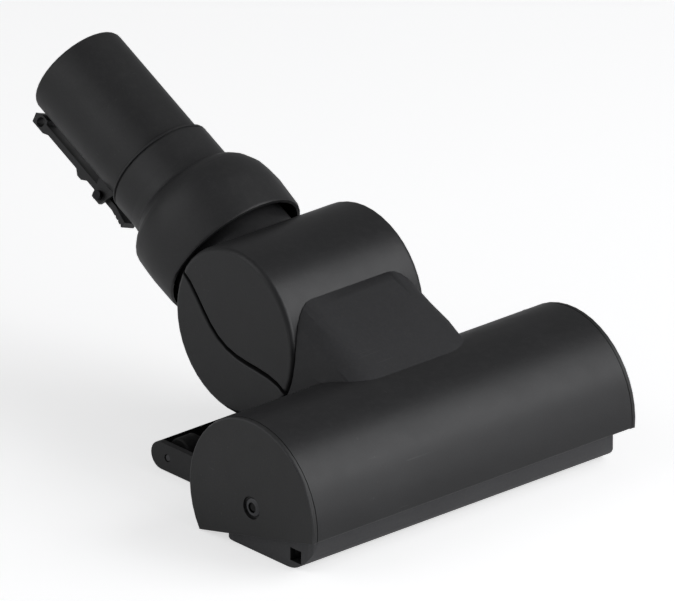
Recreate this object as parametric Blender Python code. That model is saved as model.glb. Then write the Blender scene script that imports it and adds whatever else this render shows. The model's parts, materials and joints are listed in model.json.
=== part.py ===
# Turbo brush head for a steam and suction cleaner.
# Metres, +Z up. The origin lies on the floor, under the middle of the sole's rear land.
# X runs along the head, and the suction tube leaves towards +Y.
import math

import bmesh
import bpy
from mathutils import Matrix, Vector

# Head
HEAD_LENGTH = 0.155
HEAD_RADIUS = 0.0335
HEAD_WALL = 0.0022
COVER_LIFT = 0.0002
COVER_FRONT_ANGLE = 186.0
COVER_REAR_ANGLE = -32.5
CAP_THICKNESS = 0.0020
CAP_EDGE_ROUND = 0.0006
CAP_SPIGOT_DEPTH = 0.0016
CAP_SPIGOT_WALL = 0.0020
SPIGOT_ENDS = 6.0
SCREW_RECESS_RADIUS = 0.0034
SCREW_RECESS_DEPTH = 0.0011
GAP = 0.0003

# Sole plate
SOLE_INSET = 0.0030
SOLE_NOSE_BACK = 0.0055
SOLE_NOSE_BELOW_AXLE = 0.0062
SOLE_HEEL_SHORT = 0.0145
SOLE_EDGE = 0.0005
SOLE_WALL = 0.0022
SOLE_CORNER = 0.0060
SOLE_FLANGE = 0.0014
SOLE_END_LAND = 0.0090
SOLE_FRONT_LAND = 0.0115
SOLE_REAR_LAND = 0.0065
SIDE_SLOT_BACK = 0.0048
SIDE_SLOT_WIDTH = 0.0057
SIDE_SLOT_LOW = 0.0030
SIDE_SLOT_HEIGHT = 0.0050
SOLE_SCREW_FROM_END = 0.0055
SOLE_SCREW_FROM_FRONT = 0.0140
SOLE_SCREW_FROM_REAR = 0.0040
SOLE_SCREW_HEAD_RADIUS = 0.0022
SOLE_SCREW_HEAD_HEIGHT = 0.0011
SOLE_SCREW_LENGTH = 0.0085
SOLE_SCREW_RADIUS = 0.0011
SOLE_BOSS_WALL = 0.0014

# Brush roller
BRUSH_END_ROOM = 0.0045
BRUSH_CORE_RADIUS = 0.0078
BRUSH_TIP_LIFT = 0.0006
BRISTLE_WIDTH = 0.0022
BRISTLE_SEAT_DEPTH = 0.0020
BRISTLE_TURNS = 0.55
BRISTLE_STEP = 0.0050
BRUSH_AXLE_RADIUS = 0.0015
BEARING_RADIUS = 0.0037
BEARING_LENGTH = 0.0070
BEARING_BOSS_WALL = 0.0016
CAP_SCREW_SHANK = 0.0030

# Drum, which is the elbow that pitches on the neck
DRUM_RISE = 29.7
DRUM_FROM_HEAD = 0.0048
DRUM_RADIUS = 0.0319
DRUM_HALF_LENGTH = 0.0320
DRUM_WALL = 0.0022
DRUM_EDGE_ROUND = 0.0020
PITCH_RANGE = 40.0
SEAM_GAP = 0.0009
SEAM_BOW = 0.0085
SEAM_LEAN = 0.0010
SEAM_ANGLE = 28.5

# Neck between head and drum
NECK_FRONT_Y = -0.0060
NECK_FOOT_Y = -0.0020
NECK_TOP_ANGLE = 145.0
NECK_TOP_HALF_WIDTH = 0.0222
NECK_TOP_SPREAD = 0.0020
NECK_HALF_WIDTH = 0.0314
NECK_FLARE_DROP = 0.0025
NECK_SIDE_BULGE = 0.17
NECK_BOTTOM_DROP = 0.0040
NECK_BOTTOM_RISE = 0.75
NECK_REAR_SHORT = 0.0120
NECK_CORNER = 0.0060
NECK_WALL = 0.0022
PORT_LOW_ANGLE = 8.0
PORT_HIGH_ANGLE = 80.0
CHIN_THICKNESS = 0.0022
PASSAGE_HALF_HEIGHT = 0.0085
WEB_TOP_ANGLE = 54.0
ARM_INNER_X = 0.0165
ARM_THICKNESS = 0.0030
ARM_ROOT = 0.0025
ARM_HALF_HEIGHT = 0.0062
ARM_EYE_RADIUS = 0.0092
TRUNNION_RADIUS = 0.0072
TRUNNION_LENGTH = 0.0052

# Turbine and belt
TURBINE_BEARING_RADIUS = 0.0050
TURBINE_SHAFT_RADIUS = 0.0015
TURBINE_RADIUS = 0.0205
TURBINE_LOW_X = -0.0088
TURBINE_HIGH_X = 0.0155
TURBINE_HUB_RADIUS = 0.0058
TURBINE_BLADES = 11
TURBINE_BLADE_THICKNESS = 0.0012
TURBINE_DISC = 0.0016
BELT_X = -0.0126
BELT_WIDTH = 0.0040
BELT_THICKNESS = 0.0011
BELT_SIDE_ROOM = 0.0010
PINION_TEETH = 9
PINION_RADIUS = 0.0040
BELT_RATIO = 2.0
TOOTH_DEPTH = 0.0007
PULLEY_WALL = 0.0014

# Suction tube and its swivel, measured along the tube from the drum
TUBE_ELEVATION = 27.5
TUBE_DROP = 0.0075
STUB_RADIUS = 0.0238
STUB_WALL = 0.0022
STUB_INSIDE = 0.0020
STUB_FLANGE_BACK = 0.0075
STUB_FLANGE_WIDTH = 0.0022
STUB_FLANGE_RISE = 0.0016
COLLAR_OFF_DRUM = 0.0043
COLLAR_LENGTH = 0.0238
SHOULDER_LENGTH = 0.0085
COLLAR_WALL = 0.0017
COLLAR_ROOM = 0.0007
COLLAR_RIM_RISE = 0.0013
SLEEVE_WALL = 0.0018
SLEEVE_LENGTH = 0.0137
SLEEVE_DEPTH = 0.0092
UPPER_TUBE_RADIUS = 0.0193
UPPER_TUBE_WALL = 0.0019
UPPER_TUBE_LENGTH = 0.0506
TUBE_RIM_ROUND = 0.0008
RING_LENGTH = 0.0030
SEAL_LENGTH = 0.0012

# Latch lever on the suction tube
LATCH_SWING = 25.0
LATCH_PIVOT_BEYOND = 0.0083
LATCH_PIVOT_OUT = 0.0036
LATCH_PIN_RADIUS = 0.0011
LATCH_PIN_KNOB = 0.0018
LATCH_WIDTH = 0.0080
LATCH_BAR = 0.0022
LATCH_PAD_BEYOND = 0.0035
LATCH_PAD_RISE = 0.0016
LATCH_HOOK_BEYOND = 0.0002
LATCH_EYE_RADIUS = 0.0018
LATCH_EAR = 0.0020
GRIP_PITCH = 0.0019
GRIP_DEPTH = 0.0004
GRIP_GROOVES = 3
GUARD_BACK = 0.0012
GUARD_LENGTH = 0.0100
GUARD_RISE = 0.0014

# Rear skid with its rollers
SKID_END_INSET = 0.0245
SKID_LENGTH = 0.0485
SKID_HEIGHT = 0.0110
SKID_WALL = 0.0024
SKID_FLOOR = 0.0016
SKID_LIFT = 0.0005
WHEEL_WIDTH = 0.0080
WHEEL_FROM_CHEEK = 0.0100
WHEEL_AXLE_RADIUS = 0.0012
SKID_SCREW_X = 0.0220
SKID_SCREW_HEIGHT = 0.0072
SKID_SCREW_LENGTH = 0.0062

# Facets
ROUND_STEPS = 36
DRUM_STEPS = 44
BORE_STEPS = 20
SMALL_STEPS = 14
ARC_STEPS = 28
SEAT_STEPS = 60

# Values that follow from the sizes above
HALF_HEAD = HEAD_LENGTH / 2
COVER_HALF = HALF_HEAD - CAP_THICKNESS
AXLE_HEIGHT = HEAD_RADIUS * math.sin(math.radians(-COVER_REAR_ANGLE)) + COVER_LIFT
SOLE_HALF = HALF_HEAD - SOLE_INSET
SOLE_NOSE_RADIUS = AXLE_HEIGHT - SOLE_NOSE_BELOW_AXLE
SOLE_FRONT = SOLE_NOSE_BACK - HEAD_RADIUS
SOLE_REAR = HEAD_RADIUS - SOLE_HEEL_SHORT
MOUTH_HALF_LENGTH = SOLE_HALF - SOLE_END_LAND
MOUTH_FRONT = SOLE_FRONT + SOLE_FRONT_LAND
MOUTH_REAR = SOLE_REAR - SOLE_REAR_LAND
SOLE_LAND_Y = (MOUTH_REAR + SOLE_REAR - SOLE_EDGE) / 2
BRUSH_TIP_RADIUS = AXLE_HEIGHT - BRUSH_TIP_LIFT
BRUSH_HALF_LENGTH = COVER_HALF - BEARING_LENGTH - BRUSH_END_ROOM
BELT_SPAN = HEAD_RADIUS + DRUM_RADIUS + DRUM_FROM_HEAD
DRUM_Y = BELT_SPAN * math.cos(math.radians(DRUM_RISE))
DRUM_ABOVE_ROLLER = BELT_SPAN * math.sin(math.radians(DRUM_RISE))
ROLLER = Vector((0.0, -SOLE_LAND_Y, AXLE_HEIGHT))
DRUM = ROLLER + Vector((0.0, DRUM_Y, DRUM_ABOVE_ROLLER))
PASSAGE_ANGLE = 180.0 + DRUM_RISE
PASSAGE_HALF_ANGLE = math.degrees(math.asin(PASSAGE_HALF_HEIGHT / DRUM_RADIUS))
DRUM_SEAT_RADIUS = DRUM_RADIUS + GAP
HEAD_SEAT_RADIUS = HEAD_RADIUS + GAP
PULLEY_RADIUS = PINION_RADIUS * BELT_RATIO
STUB_FLANGE_RADIUS = STUB_RADIUS + STUB_FLANGE_RISE
COLLAR_RADIUS = STUB_FLANGE_RADIUS + COLLAR_ROOM + COLLAR_WALL
COLLAR_RIM_RADIUS = COLLAR_RADIUS + COLLAR_RIM_RISE
SLEEVE_RADIUS = UPPER_TUBE_RADIUS + SLEEVE_WALL
UPPER_TUBE_BORE = UPPER_TUBE_RADIUS - UPPER_TUBE_WALL
COLLAR_FROM = DRUM_RADIUS + COLLAR_OFF_DRUM
COLLAR_SHOULDER = COLLAR_FROM + COLLAR_LENGTH
SLEEVE_FROM = COLLAR_SHOULDER + SHOULDER_LENGTH
SLEEVE_END = SLEEVE_FROM + SLEEVE_LENGTH
SLEEVE_STEP = SLEEVE_END - SLEEVE_DEPTH
STUB_END = COLLAR_SHOULDER - STUB_INSIDE
STUB_FLANGE_FROM = STUB_END - STUB_FLANGE_BACK
UPPER_TUBE_END = SLEEVE_END + UPPER_TUBE_LENGTH
LATCH_PIVOT = SLEEVE_END + LATCH_PIVOT_BEYOND
LATCH_PIVOT_RADIUS = UPPER_TUBE_RADIUS + LATCH_PIVOT_OUT
LATCH_BACK = LATCH_PIVOT_RADIUS + LATCH_BAR / 2
LATCH_PAD_FROM = SLEEVE_STEP + LATCH_PAD_BEYOND
LATCH_HOOK_END = UPPER_TUBE_END + LATCH_HOOK_BEYOND
GUARD_FROM = COLLAR_FROM + GUARD_BACK
SKID_HALF_WIDTH = HALF_HEAD - SKID_END_INSET
SKID_REAR_Y = HEAD_RADIUS + SKID_LENGTH
WHEEL_X = SKID_HALF_WIDTH - WHEEL_FROM_CHEEK
WHEEL_RADIUS = (SKID_HEIGHT + SKID_LIFT) / 2
WHEEL_CENTRE = (SKID_REAR_Y - SKID_WALL - WHEEL_RADIUS - 2 * GAP, WHEEL_RADIUS - AXLE_HEIGHT)

COLOURS = {
    "charcoal": ((0.020, 0.020, 0.021, 1.0), 0.42, 0.0),
    "matte": ((0.032, 0.032, 0.035, 1.0), 0.62, 0.0),
    "inner": ((0.012, 0.012, 0.013, 1.0), 0.60, 0.0),
    "bristle": ((0.030, 0.030, 0.032, 1.0), 0.75, 0.0),
    "rubber": ((0.010, 0.010, 0.010, 1.0), 0.80, 0.0),
    "steel": ((0.450, 0.450, 0.460, 1.0), 0.30, 1.0),
    "bronze": ((0.300, 0.200, 0.110, 1.0), 0.40, 1.0),
    "turbine": ((0.060, 0.060, 0.065, 1.0), 0.45, 0.0),
}


# Helpers for materials, objects and outlines
def material_for(name, finish):
    colour, roughness, metallic = COLOURS[finish]
    material = bpy.data.materials.new(name)
    material.use_nodes = True
    shader = material.node_tree.nodes["Principled BSDF"]
    shader.inputs["Base Color"].default_value = colour
    shader.inputs["Roughness"].default_value = roughness
    shader.inputs["Metallic"].default_value = metallic
    material.diffuse_color = colour
    return material


def clear_scene():
    for item in list(bpy.data.objects):
        bpy.data.objects.remove(item)


def add_object(name, mesh_maker, finish=None, parent=None):
    """One object from a bmesh; with no finish it is a hidden tool shape."""
    mesh = bpy.data.meshes.new(name)
    mesh_maker.to_mesh(mesh)
    mesh_maker.free()
    item = bpy.data.objects.new(name, mesh)
    bpy.context.collection.objects.link(item)
    item.parent = parent
    if finish is None:
        item.hide_render = True
        item.display_type = "WIRE"
    else:
        mesh.materials.append(material_for(name, finish))
        mesh.shade_smooth()
        mesh.set_sharp_from_angle(angle=math.radians(32))
    return item


def add_axis(name, location, rotation=None, parent=None):
    axis = bpy.data.objects.new(name, None)
    bpy.context.collection.objects.link(axis)
    axis.parent = parent
    axis.location = location
    if rotation is not None:
        axis.rotation_euler = rotation.to_euler()
    return axis


def cut(target, *tools):
    for tool in tools:
        change = target.modifiers.new("cut_" + tool.name, "BOOLEAN")
        change.operation = "DIFFERENCE"
        change.object = tool
    return target


def join(target, *tools):
    for tool in tools:
        change = target.modifiers.new("join_" + tool.name, "BOOLEAN")
        change.operation = "UNION"
        change.object = tool
    return target


def keep(target, tool):
    change = target.modifiers.new("keep_" + tool.name, "BOOLEAN")
    change.operation = "INTERSECT"
    change.object = tool
    return target


def solve_as_manifold(item):
    """The EXACT solver loses walls where long loft facets meet round cutters."""
    for change in item.modifiers:
        change.solver = "MANIFOLD"
    return item


def arc(centre, radius, start, end, steps=ARC_STEPS):
    """Points of a circle's arc in the plane, angles in degrees."""
    points = []
    for step in range(steps + 1):
        angle = math.radians(start + (end - start) * step / steps)
        points.append((centre[0] + radius * math.cos(angle), centre[1] + radius * math.sin(angle)))
    return points


def rounded(corners, radius, steps=4):
    """A closed outline with each corner turned to an arc of the radius."""
    points = []
    count = len(corners)
    for index in range(count):
        here = Vector(corners[index])
        before = (Vector(corners[index - 1]) - here).normalized()
        after = (Vector(corners[(index + 1) % count]) - here).normalized()
        half = before.angle(after) / 2
        reach = radius / math.tan(half)
        centre = here + (before + after).normalized() * radius / math.sin(half)
        start = here + before * reach - centre
        end = here + after * reach - centre
        sweep = start.angle_signed(end)
        for step in range(steps + 1):
            turn = Matrix.Rotation(-sweep * step / steps, 2)
            point = centre + turn @ start
            points.append((point.x, point.y))
    return points


def extruded(outline, low, high, place):
    """A prism: place(u, v, w) puts an outline point at the height w."""
    maker = bmesh.new()
    bottom = [maker.verts.new(place(u, v, low)) for u, v in outline]
    top = [maker.verts.new(place(u, v, high)) for u, v in outline]
    maker.faces.new(bottom)
    maker.faces.new(top)
    for index in range(len(outline)):
        after = (index + 1) % len(outline)
        maker.faces.new((bottom[index], bottom[after], top[after], top[index]))
    bmesh.ops.recalc_face_normals(maker, faces=maker.faces)
    return maker


def along_x(outline, low, high):
    return extruded(outline, low, high, lambda u, v, w: (w, u, v))


def along_y(outline, low, high):
    return extruded(outline, low, high, lambda u, v, w: (u, w, v))


def along_z(outline, low, high):
    return extruded(outline, low, high, lambda u, v, w: (u, v, w))


def turned(profile, steps=ROUND_STEPS, axis="Z"):
    """A closed profile of (radius, along) pairs, turned about the axis."""
    maker = bmesh.new()
    rings = []
    for step in range(steps):
        angle = 2 * math.pi * step / steps
        ring = []
        for radius, along in profile:
            side = radius * math.cos(angle)
            up = radius * math.sin(angle)
            point = (along, side, up) if axis == "X" else (side, up, along)
            ring.append(maker.verts.new(point))
        rings.append(ring)
    count = len(profile)
    for step in range(steps):
        this, other = rings[step], rings[(step + 1) % steps]
        for index in range(count):
            after = (index + 1) % count
            if profile[index][0] > 0 or profile[after][0] > 0:
                maker.faces.new((this[index], this[after], other[after], other[index]))
    bmesh.ops.remove_doubles(maker, verts=maker.verts, dist=1e-7)
    bmesh.ops.recalc_face_normals(maker, faces=maker.faces)
    return maker


def rod(radius, low, high, steps=SMALL_STEPS, axis="X", centre=(0.0, 0.0)):
    """A plain round bar along one axis, at a centre in the plane across it."""
    outline = arc(centre, radius, 0, 360 * (1 - 1 / steps), steps - 1)
    maker = {"X": along_x, "Y": along_y, "Z": along_z}[axis]
    return maker(outline, low, high)


def box(low, high):
    outline = [(low[0], low[1]), (high[0], low[1]), (high[0], high[1]), (low[0], high[1])]
    return along_z(outline, low[2], high[2])


# Head cover: the D-shaped top shell over the roller
def chord_height(y):
    """Height of the cover's lower edge line above the roller axis at y."""
    front = Vector(arc((0, 0), HEAD_RADIUS, COVER_FRONT_ANGLE, COVER_FRONT_ANGLE, 1)[0])
    rear = Vector(arc((0, 0), HEAD_RADIUS, COVER_REAR_ANGLE, COVER_REAR_ANGLE, 1)[0])
    return front.y + (rear.y - front.y) * (y - front.x) / (rear.x - front.x)


def sole_screw_places():
    for side in (-1, 1):
        for y in (SOLE_FRONT + SOLE_SCREW_FROM_FRONT, SOLE_REAR - SOLE_SCREW_FROM_REAR):
            yield side * (SOLE_HALF - SOLE_SCREW_FROM_END), y


def sole_flange_top(y):
    """Height of the sole's flange at a screw post, with its slope across the post."""
    post_radius = SOLE_SCREW_RADIUS + SOLE_BOSS_WALL
    return max(chord_height(y - post_radius), chord_height(y + post_radius)) + SOLE_FLANGE


def make_head_cover(roller):
    inner = HEAD_RADIUS - HEAD_WALL
    outline = arc((0, 0), HEAD_RADIUS, COVER_FRONT_ANGLE, COVER_REAR_ANGLE)
    outline += arc((0, 0), inner, COVER_REAR_ANGLE, COVER_FRONT_ANGLE)
    cover = add_object("head_cover", along_x(outline, -COVER_HALF, COVER_HALF), "charcoal", roller)
    post_radius = SOLE_SCREW_RADIUS + SOLE_BOSS_WALL
    for number, (x, y) in enumerate(sole_screw_places()):
        top = math.sqrt((HEAD_RADIUS - HEAD_WALL / 2) ** 2 - y * y)
        post = rod(post_radius, sole_flange_top(y) + GAP, top, 12, "Z", (x, y))
        join(cover, add_object("tool_cover_post_%d" % number, post, None, roller))
    for side in (-1, 1):
        height = SKID_SCREW_HEIGHT - AXLE_HEIGHT
        outer = math.sqrt((HEAD_RADIUS - HEAD_WALL / 2) ** 2 - height ** 2)
        spot = (side * SKID_SCREW_X, height)
        boss = rod(post_radius, outer - SKID_SCREW_LENGTH, outer, 12, "Y", spot)
        join(cover, add_object("tool_cover_boss_%d" % side, boss, None, roller))
        bore = rod(SOLE_SCREW_RADIUS + GAP, outer - SKID_SCREW_LENGTH, HEAD_RADIUS, 12, "Y", spot)
        cut(cover, add_object("tool_cover_bore_%d" % side, bore, None, roller))
    for number, (x, y) in enumerate(sole_screw_places()):
        low = chord_height(y)
        bore = rod(SOLE_SCREW_RADIUS + GAP, low, low + SOLE_SCREW_LENGTH, 12, "Z", (x, y))
        cut(cover, add_object("tool_cover_pilot_%d" % number, bore, None, roller))
    port = arc((0, 0), HEAD_RADIUS + HEAD_WALL, PORT_LOW_ANGLE, PORT_HIGH_ANGLE, 10)
    port += arc((0, 0), inner - HEAD_WALL, PORT_HIGH_ANGLE, PORT_LOW_ANGLE, 10)
    half = abs(BELT_X) + BELT_WIDTH / 2 + BELT_SIDE_ROOM
    cut(cover, add_object("tool_cover_port", along_x(port, -half, half), None, roller))
    return cover


# End caps: flat D-shaped plates with a spigot, a bearing boss and a screw recess
def make_end_cap(name, side, roller):
    face = side * HALF_HEAD
    seat = side * COVER_HALF
    inside = side * (COVER_HALF - CAP_SPIGOT_DEPTH)
    outline = arc((0, 0), HEAD_RADIUS, COVER_FRONT_ANGLE, COVER_REAR_ANGLE)
    plate = along_x(outline, min(face, seat + side * GAP), max(face, seat + side * GAP))
    rim = [edge for edge in plate.edges if all(abs(vert.co.x - face) < 1e-6 for vert in edge.verts)]
    bmesh.ops.bevel(plate, geom=rim, offset=CAP_EDGE_ROUND, segments=2, affect="EDGES", profile=0.5)
    cap = add_object(name, plate, "charcoal", roller)
    outer = HEAD_RADIUS - HEAD_WALL - GAP
    ring = arc((0, 0), outer, COVER_FRONT_ANGLE - SPIGOT_ENDS, COVER_REAR_ANGLE + SPIGOT_ENDS)
    ring += arc((0, 0), outer - CAP_SPIGOT_WALL, COVER_REAR_ANGLE + SPIGOT_ENDS,
                COVER_FRONT_ANGLE - SPIGOT_ENDS)
    middle = side * (HALF_HEAD - CAP_THICKNESS / 2)
    spigot = along_x(ring, min(middle, inside), max(middle, inside))
    join(cap, add_object("tool_spigot_" + name, spigot, None, roller))
    boss_end = side * (COVER_HALF - BEARING_LENGTH)
    boss_radius = BEARING_RADIUS + GAP + BEARING_BOSS_WALL
    boss = rod(boss_radius, min(middle, boss_end), max(middle, boss_end), BORE_STEPS)
    join(cap, add_object("tool_boss_" + name, boss, None, roller))
    deep = boss_end - side * GAP
    bore = rod(BEARING_RADIUS + GAP, min(seat, deep), max(seat, deep), BORE_STEPS)
    cut(cap, add_object("tool_bore_" + name, bore, None, roller))
    floor = face - side * SCREW_RECESS_DEPTH
    over = face + side * GAP
    recess = rod(SCREW_RECESS_RADIUS, min(floor, over), max(floor, over), BORE_STEPS)
    cut(cap, add_object("tool_recess_" + name, recess, None, roller))
    hole = rod(BRUSH_AXLE_RADIUS + GAP, min(seat, face), max(seat, face), SMALL_STEPS)
    cut(cap, add_object("tool_hole_" + name, hole, None, roller))
    return cap


def make_roller_bearing(name, side, roller):
    outer = side * (COVER_HALF - GAP)
    inner = side * (COVER_HALF - BEARING_LENGTH)
    profile = [(BRUSH_AXLE_RADIUS + GAP, outer), (BEARING_RADIUS, outer)]
    profile += [(BEARING_RADIUS, inner), (BRUSH_AXLE_RADIUS + GAP, inner)]
    return add_object(name, turned(profile, BORE_STEPS, "X"), "bronze", roller)


def make_cap_screw(name, side, roller):
    floor = HALF_HEAD - SCREW_RECESS_DEPTH + GAP
    crown = HALF_HEAD - GAP
    head = SCREW_RECESS_RADIUS - 2 * GAP
    socket = head * 0.42
    profile = [(0, floor - CAP_SCREW_SHANK), (BRUSH_AXLE_RADIUS, floor - CAP_SCREW_SHANK)]
    profile += [(BRUSH_AXLE_RADIUS, floor), (head, floor), (head, crown - 2 * GAP)]
    profile += [(head - 2 * GAP, crown), (socket, crown), (socket, floor), (0, floor)]
    screw = turned([(radius, side * along) for radius, along in profile], SMALL_STEPS, "X")
    return add_object(name, screw, "steel", roller)


# Sole plate: the wedge-shaped frame round the suction mouth
def flange_ends(reach):
    """Front and rear y of the sole's flange, which stops short of the cover's inside."""
    front = -math.sqrt(reach ** 2 - chord_height(-reach) ** 2)
    rear = math.sqrt(reach ** 2 - chord_height(reach) ** 2)
    return front, rear


def make_sole_plate(roller):
    floor = -AXLE_HEIGHT
    reach = HEAD_RADIUS - HEAD_WALL - GAP
    front, rear = flange_ends(reach)
    nose = (SOLE_FRONT + SOLE_NOSE_RADIUS, floor + SOLE_NOSE_RADIUS)
    wedge = [(SOLE_FRONT, chord_height(SOLE_FRONT) + 2 * GAP)]
    wedge += arc(nose, SOLE_NOSE_RADIUS, 180, 270, 10)
    wedge += [(SOLE_REAR - SOLE_EDGE, floor), (SOLE_REAR, floor + SOLE_EDGE)]
    wedge += [(SOLE_REAR, chord_height(SOLE_REAR) + 2 * GAP)]
    half = SOLE_HALF
    sole = add_object("sole_plate", along_x(wedge, -half, half), "matte", roller)
    plan = [(-half, SOLE_FRONT - GAP), (half, SOLE_FRONT - GAP)]
    plan += [(half, SOLE_REAR + GAP), (-half, SOLE_REAR + GAP)]
    corners = along_z(rounded(plan, SOLE_CORNER, 5), floor - GAP, 0)
    keep(sole, add_object("tool_sole_plan", corners, None, roller))
    flange = [(front, chord_height(front) + SOLE_FLANGE), (front, chord_height(front) + GAP)]
    flange += [(rear, chord_height(rear) + GAP), (rear, chord_height(rear) + SOLE_FLANGE)]
    flange_half = COVER_HALF - CAP_SPIGOT_DEPTH - GAP
    join(sole, add_object("tool_sole_flange", along_x(flange, -flange_half, flange_half), None, roller))
    inner = half - SOLE_WALL
    over = chord_height(front) + 2 * SOLE_FLANGE
    pocket = [(SOLE_FRONT + SOLE_WALL, over)]
    pocket += arc(nose, SOLE_NOSE_RADIUS - SOLE_WALL, 180, 270, 10)
    pocket += [(SOLE_REAR - SOLE_WALL, floor + SOLE_WALL), (SOLE_REAR - SOLE_WALL, over)]
    cut(sole, add_object("tool_sole_pocket", along_x(pocket, -inner, inner), None, roller))
    mouth = [(-MOUTH_HALF_LENGTH, MOUTH_FRONT), (MOUTH_HALF_LENGTH, MOUTH_FRONT)]
    mouth += [(MOUTH_HALF_LENGTH, MOUTH_REAR), (-MOUTH_HALF_LENGTH, MOUTH_REAR)]
    cutter = along_z(rounded(mouth, 2 * GAP + SOLE_WALL), floor - GAP, floor + SOLE_WALL + GAP)
    cut(sole, add_object("tool_sole_mouth", cutter, None, roller))
    for number, (x, y) in enumerate(sole_screw_places()):
        boss_radius = SOLE_SCREW_HEAD_RADIUS + GAP + SOLE_BOSS_WALL / 2
        boss = rod(boss_radius, floor + SOLE_WALL / 2, chord_height(y) + SOLE_FLANGE / 2, 14, "Z", (x, y))
        join(sole, add_object("tool_sole_boss_%d" % number, boss, None, roller))
        sink_top = floor + SOLE_SCREW_HEAD_HEIGHT + 2 * GAP
        sink = rod(SOLE_SCREW_HEAD_RADIUS + GAP, floor - GAP, sink_top, 14, "Z", (x, y))
        cut(sole, add_object("tool_sole_sink_%d" % number, sink, None, roller))
        hole = rod(SOLE_SCREW_RADIUS + GAP, floor, chord_height(y) + 2 * SOLE_FLANGE, 12, "Z", (x, y))
        cut(sole, add_object("tool_sole_hole_%d" % number, hole, None, roller))
    for side in (-1, 1):
        low = min(side * (half + GAP), side * (inner - GAP))
        high = max(side * (half + GAP), side * (inner - GAP))
        slot_front = SOLE_FRONT + SIDE_SLOT_BACK
        slot_rear = slot_front + SIDE_SLOT_WIDTH
        slot_top = floor + SIDE_SLOT_LOW + SIDE_SLOT_HEIGHT
        slot = [(slot_front, floor + SIDE_SLOT_LOW), (slot_rear, floor + SIDE_SLOT_LOW)]
        slot += [(slot_rear, slot_top), (slot_front, slot_top)]
        cut(sole, add_object("tool_side_slot_%d" % side, along_x(slot, low, high), None, roller))
    return sole


def make_sole_screws(roller):
    floor = -AXLE_HEIGHT
    for number, (x, y) in enumerate(sole_screw_places()):
        head = floor + 2 * GAP
        seat = head + SOLE_SCREW_HEAD_HEIGHT - GAP
        tip = chord_height(y) + SOLE_SCREW_LENGTH - 2 * GAP
        socket = SOLE_SCREW_HEAD_RADIUS * 0.45
        profile = [(0, head + SOLE_SCREW_HEAD_HEIGHT / 2), (socket, head + SOLE_SCREW_HEAD_HEIGHT / 2)]
        profile += [(socket, head), (SOLE_SCREW_HEAD_RADIUS, head), (SOLE_SCREW_HEAD_RADIUS, seat)]
        profile += [(SOLE_SCREW_RADIUS, seat), (SOLE_SCREW_RADIUS, tip), (0, tip)]
        screw = add_object("sole_screw_%d" % (number + 1), turned(profile, 12), "steel", roller)
        screw.location = (x, y, 0)


# Brush roller: a core with helical seats, its bristle rows, and a toothed pulley
def belt_lane():
    half = BELT_WIDTH / 2 + 2 * GAP
    return BELT_X - half, BELT_X + half


def helix_angle(x, row):
    return 2 * math.pi * (BRISTLE_TURNS * (x + BRUSH_HALF_LENGTH) / (2 * BRUSH_HALF_LENGTH) + row / 2)


def twisted_blade(low, high, root, tip, width, row):
    """A radial blade that follows the roller's helix, from x = low to high."""
    maker = bmesh.new()
    steps = max(6, round((high - low) / BRISTLE_STEP))
    rings = []
    for step in range(steps + 1):
        x = low + (high - low) * step / steps
        turn = Matrix.Rotation(helix_angle(x, row), 2)
        ring = []
        for side, reach in ((-1, root), (1, root), (1, tip), (-1, tip)):
            point = turn @ Vector((side * width / 2, reach))
            ring.append(maker.verts.new((x, point.x, point.y)))
        rings.append(ring)
    maker.faces.new(rings[0])
    maker.faces.new(rings[-1])
    for this, other in zip(rings, rings[1:]):
        for index in range(4):
            after = (index + 1) % 4
            maker.faces.new((this[index], this[after], other[after], other[index]))
    bmesh.ops.triangulate(maker, faces=maker.faces)
    bmesh.ops.recalc_face_normals(maker, faces=maker.faces)
    return maker


def toothed_wheel(radius, teeth, low, high):
    outline = []
    for tooth in range(teeth):
        for share, depth in ((0.0, TOOTH_DEPTH), (0.12, 0.0), (0.5, 0.0), (0.62, TOOTH_DEPTH)):
            angle = 2 * math.pi * (tooth + share) / teeth
            outline.append(((radius - depth) * math.cos(angle), (radius - depth) * math.sin(angle)))
    return along_x(outline, low, high)


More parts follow.
